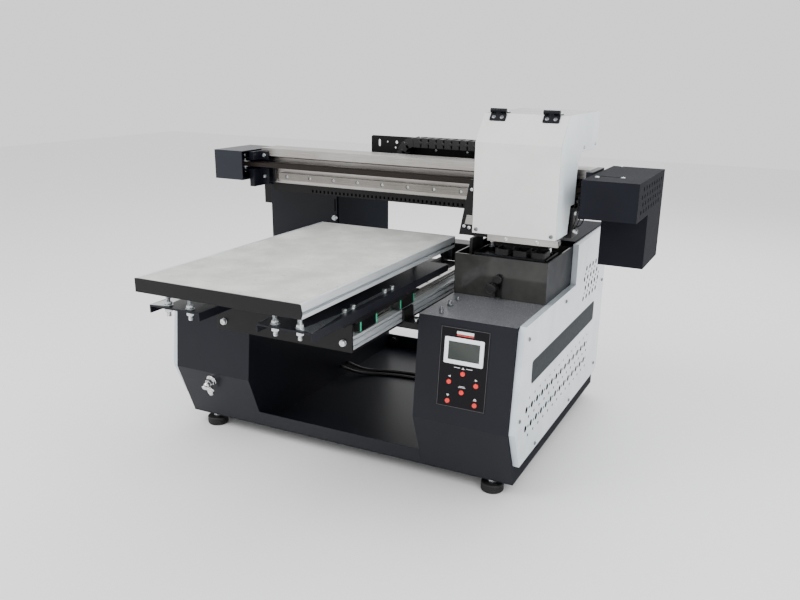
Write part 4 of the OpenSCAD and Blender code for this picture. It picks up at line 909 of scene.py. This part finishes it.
def makePrintHeads():
    mesh = bmesh.new()
    w = heads["width"]
    for x in heads["x"]:
        addBox(mesh, (x + 1, x + w - 1), (-60, -21), (460, 488))
        addBox(mesh, (x + 2.5, x + w - 2.5), (-58, -23), (459, 460.2), 1)
        for k in range(5):
            addBox(mesh, (x + 4.5 + k * 4.2, x + 5.3 + k * 4.2), (-54, -27), (458.9, 459.4), 3)
        addBox(mesh, (x - 3, x + w + 3), (-96, -19), (488, 504))
        addBox(mesh, (x + 1, x + w - 1), (-92, -26), (504, 528))
        for k in range(4):
            addTurned(mesh, (x + 4 + k * 6.6, -44, 527), (0, 0, 1), heads["fittings"], 14, 2)
            addBox(mesh, (x + 2.6 + k * 6.2, x + 6.6 + k * 6.2), (-97.2, -95.5), (491, 501))
        for y in (-88, -27):
            addPanHead(mesh, (x + w / 2, y, 528), (0, 0, 1), 5, 1.4, 1)
    node = "print_heads"
    makePiece("headBodies", mesh, [absBlack, zincSteel, siliconeClear, blackPowder], "carriage", [node],
              bevel=0.6)
    for number, (x, y) in enumerate(heads["wireStarts"]):
        makeWire("headWire.%d" % number, [(x, y, 500), (x + 6, -112, 497), (x + 2 - 9 * number, -126, 510),
                                          (x - 4, -120, 540), (x + 4, -90, 570), (x + 6, -40, 590)], 1.3,
                 blueWire if number != 2 else footRubber, "carriage")
    for number, loop in enumerate(heads["sideWires"]):
        makeWire("sideWire.%d" % number, loop, 1.2, footRubber, "carriage")


makePrintHeads()

station = {
    "knob": (275, -72, 371), "slotKnob": (284, -71, 388), "posts": [240, 360], "postY": 5,
    "cup": (28, -61, -20),
    "knobProfile": [(8, -4), (9.6, -3), (10.6, 0, ribbed), (10.6, 15, ribbed), (9.8, 17, ribbed), (8, 18.4),
                    (7.4, 18.0), (7.0, 17.0), (1, 17.0)],
    "slotKnobProfile": [(5.8, -6), (6.4, 0), (8.4, 0.4, ribbed), (8.4, 5, ribbed), (7.4, 6.2), (5.6, 6.2),
                        (5.2, 5.4), (1, 5.4)],
    "bush": [(4.05, 0), (6.5, 0), (6.5, 9.6), (6, 10), (4.05, 10)]}


def makeStationParts():
    mesh = bmesh.new()
    for knob in ("knob", "slotKnob"):
        addTurned(mesh, station[knob], (0, -1, 0), station[knob + "Profile"], 84)
    makePiece("stationKnobs", mesh, [nylonBlack], "chassis")
    mesh = bmesh.new()
    node = "cap_tray"
    low, high = nodeBox(node)
    width, front, rear = station["cup"]
    for x in heads["x"]:
        outer = roundedOutline((x, front), (x + width, rear), 4)
        inner = roundedOutline((x + 3, front + 3), (x + width - 3, rear - 3), 2.5)
        rings = ((outer, 12), (outer, 1.2), (outer, 0.3), (inner, 0.1), (inner, 8))
        skinLoops(mesh, [addVerts(mesh, [(a, b, high.z - drop) for a, b in line]) for line, drop in rings])
    addBox(mesh, (low.x, high.x), (low.y, high.y), (low.z, low.z + 2.4), 1)
    for y in (low.y, high.y - 2.4):
        addBox(mesh, (low.x, high.x), (y, y + 2.4), (low.z + 2, low.z + 10), 1)
    for x in (low.x, high.x - 2.4):
        addBox(mesh, (x, x + 2.4), (low.y, high.y), (low.z + 2, low.z + 10), 1)
    for x in station["posts"]:
        addTurned(mesh, (x, station["postY"], low.z), (0, 0, 1), station["bush"], 28, 1)
    makePiece("capCups", mesh, [footRubber, blackenedSteel], bodyOf[node], [node], bevel=0.3)


makeStationParts()
print("carriage and station made")

chain = {"pitch": 18.3, "plate": 2.6, "bar": 2.2, "overlap": 3, "tall": 20.5, "drop": 1.7, "slack": 0.4,
         "bendLinks": 5, "shortest": 26.5, "pin": [(3.4, 0), (3.4, 0.7), (2.8, 0.9), (1.2, 0.9), (1.0, 0.5)]}


def addLink(mesh, middle, along, out, width, height, length):
    # one link of the energy chain: two side plates with round ends, and a bar above and below
    across = Vector((0, 1, 0))
    half = length / 2 + chain["overlap"] / 2
    outline = roundedOutline((-half, -height / 2), (half, height / 2), height * 0.16, 4)
    for side in (-1, 1):
        inner, outer = (side * (width / 2 - t) for t in (chain["plate"], 0.3))
        skinLoops(mesh, [addVerts(mesh, [middle + along * a + out * b + across * s for a, b in outline])
                         for s in (inner, outer)])
        pin = middle + along * (length / 2 - 1.5) + across * side * (width / 2 - 0.6)
        addTurned(mesh, pin, across * side, chain["pin"], 16)
    for side in (-1, 1):
        face, reach, end = side * (height / 2 - 0.4), length * 0.3, width / 2 - 1
        corners = [middle + along * a + out * (face - side * b) + across * c
                   for c in (-end, end) for b in (0, chain["bar"]) for a in (-reach, reach)]
        boxFaces(mesh, addVerts(mesh, corners))


def makeChain():
    for name, body in (("chain_lower", None), ("chain_upper", "carriage"), ("chain_bend", "chain_loop")):
        low, high = nodeBox(name)
        middle = (low + high) / 2
        width = high.y - low.y - chain["slack"]
        run = Vector((0, middle.y, middle.z - chain["drop"]))
        mesh = bmesh.new()
        if name == "chain_bend":
            radius = (high.z - low.z) / 2 - 12
            share = math.pi / chain["bendLinks"]
            for k in range(chain["bendLinks"]):
                angle = -math.pi / 2 - share * (k + 0.5)
                out = Vector((math.cos(angle), 0, math.sin(angle)))
                along = Vector((-out.z, 0, out.x))
                addLink(mesh, run + Vector((high.x, 0, 0)) + out * radius, along, out, width, chain["tall"],
                        radius * share * 0.96)
            for vert in mesh.verts:
                vert.co.x = min(vert.co.x, high.x - 0.1)
            makePiece("chainBend", mesh, [nylonBlack], bodyOf[name], [name], bevel=0.3)
            continue
        count = round((high.x - low.x) / chain["pitch"])
        step = (high.x - low.x) / count
        for k in range(count):
            addLink(mesh, run + Vector((low.x + (k + 0.5) * step, 0, 0)), Vector((1, 0, 0)), Vector((0, 0, 1)),
                    width, chain["tall"], step)
        for vert in mesh.verts:
            vert.co.x = min(max(vert.co.x, low.x + 0.2), high.x - 0.2)
        piece = makePiece("chain" + name[6:].title(), mesh, [nylonBlack], body, [name])
        if name == "chain_upper":
            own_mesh(piece)
        else:
            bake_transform(piece)


makeChain()

motors = {"carriage": ((469, 525), (19, 75), (476, 552)), "table": ((15.5, 85.5), (302, 350), (318, 362.5))}


def makeMotorCaps():
    # steppers have bright cast ends on a black laminated body
    for name, axis, node in (("carriage", "z", "x_motor"), ("table", "x", "y_motor")):
        ends = motors[name]["xyz".index(axis)]
        across = [(a - 0.3, b + 0.3) for k, (a, b) in enumerate(motors[name]) if "xyz"[k] != axis]
        outline = roundedOutline(*zip(*across), 3)
        mesh = bmesh.new()
        addPrism(mesh, outline, axis, ends[0] - 0.2, ends[0] + 11.2)
        addPrism(mesh, outline, axis, ends[1] - 9.2, ends[1] - 0.1)
        makePiece("motorCaps." + name, mesh, [turnedAluminium], "chassis", bevel=0.5)


makeMotorCaps()
print("chain and motors made")

studio = {"floor": 12.0, "floorColour": "#f4f4f4", "skyColour": "#ffffff", "sky": 1.25,
          "lamps": [((-1100, -1700, 2300), 1.6, 45), ((1900, -1300, 1700), 1.4, 30),
                    ((300, 1900, 2200), 2.0, 30)]}


def makeStudio():
    bpy.ops.mesh.primitive_plane_add(size=studio["floor"])
    floor = bpy.context.object
    floor.name = "studioFloor"
    paper, tree, shader = startMaterial("paperPale", Roughness=0.9)
    shader.inputs["Base Color"].default_value = linear(studio["floorColour"])
    floor.data.materials.append(paper)
    world = bpy.data.worlds.new("studio")
    bpy.context.scene.world = world
    world.use_nodes = True
    back = world.node_tree.nodes["Background"]
    back.inputs["Color"].default_value = linear(studio["skyColour"])
    back.inputs["Strength"].default_value = studio["sky"]
    target = at(0, -60, 350)
    for place, size, power in studio["lamps"]:
        data = bpy.data.lights.new("softbox", "AREA")
        data.shape = "SQUARE"
        data.size = size
        data.energy = power
        lamp = bpy.data.objects.new("softbox", data)
        bpy.context.scene.collection.objects.link(lamp)
        lamp.location = at(*place)
        lamp.rotation_euler = (target - lamp.location).to_track_quat("-Z", "Y").to_euler()


makeStudio()
print("studio ready")
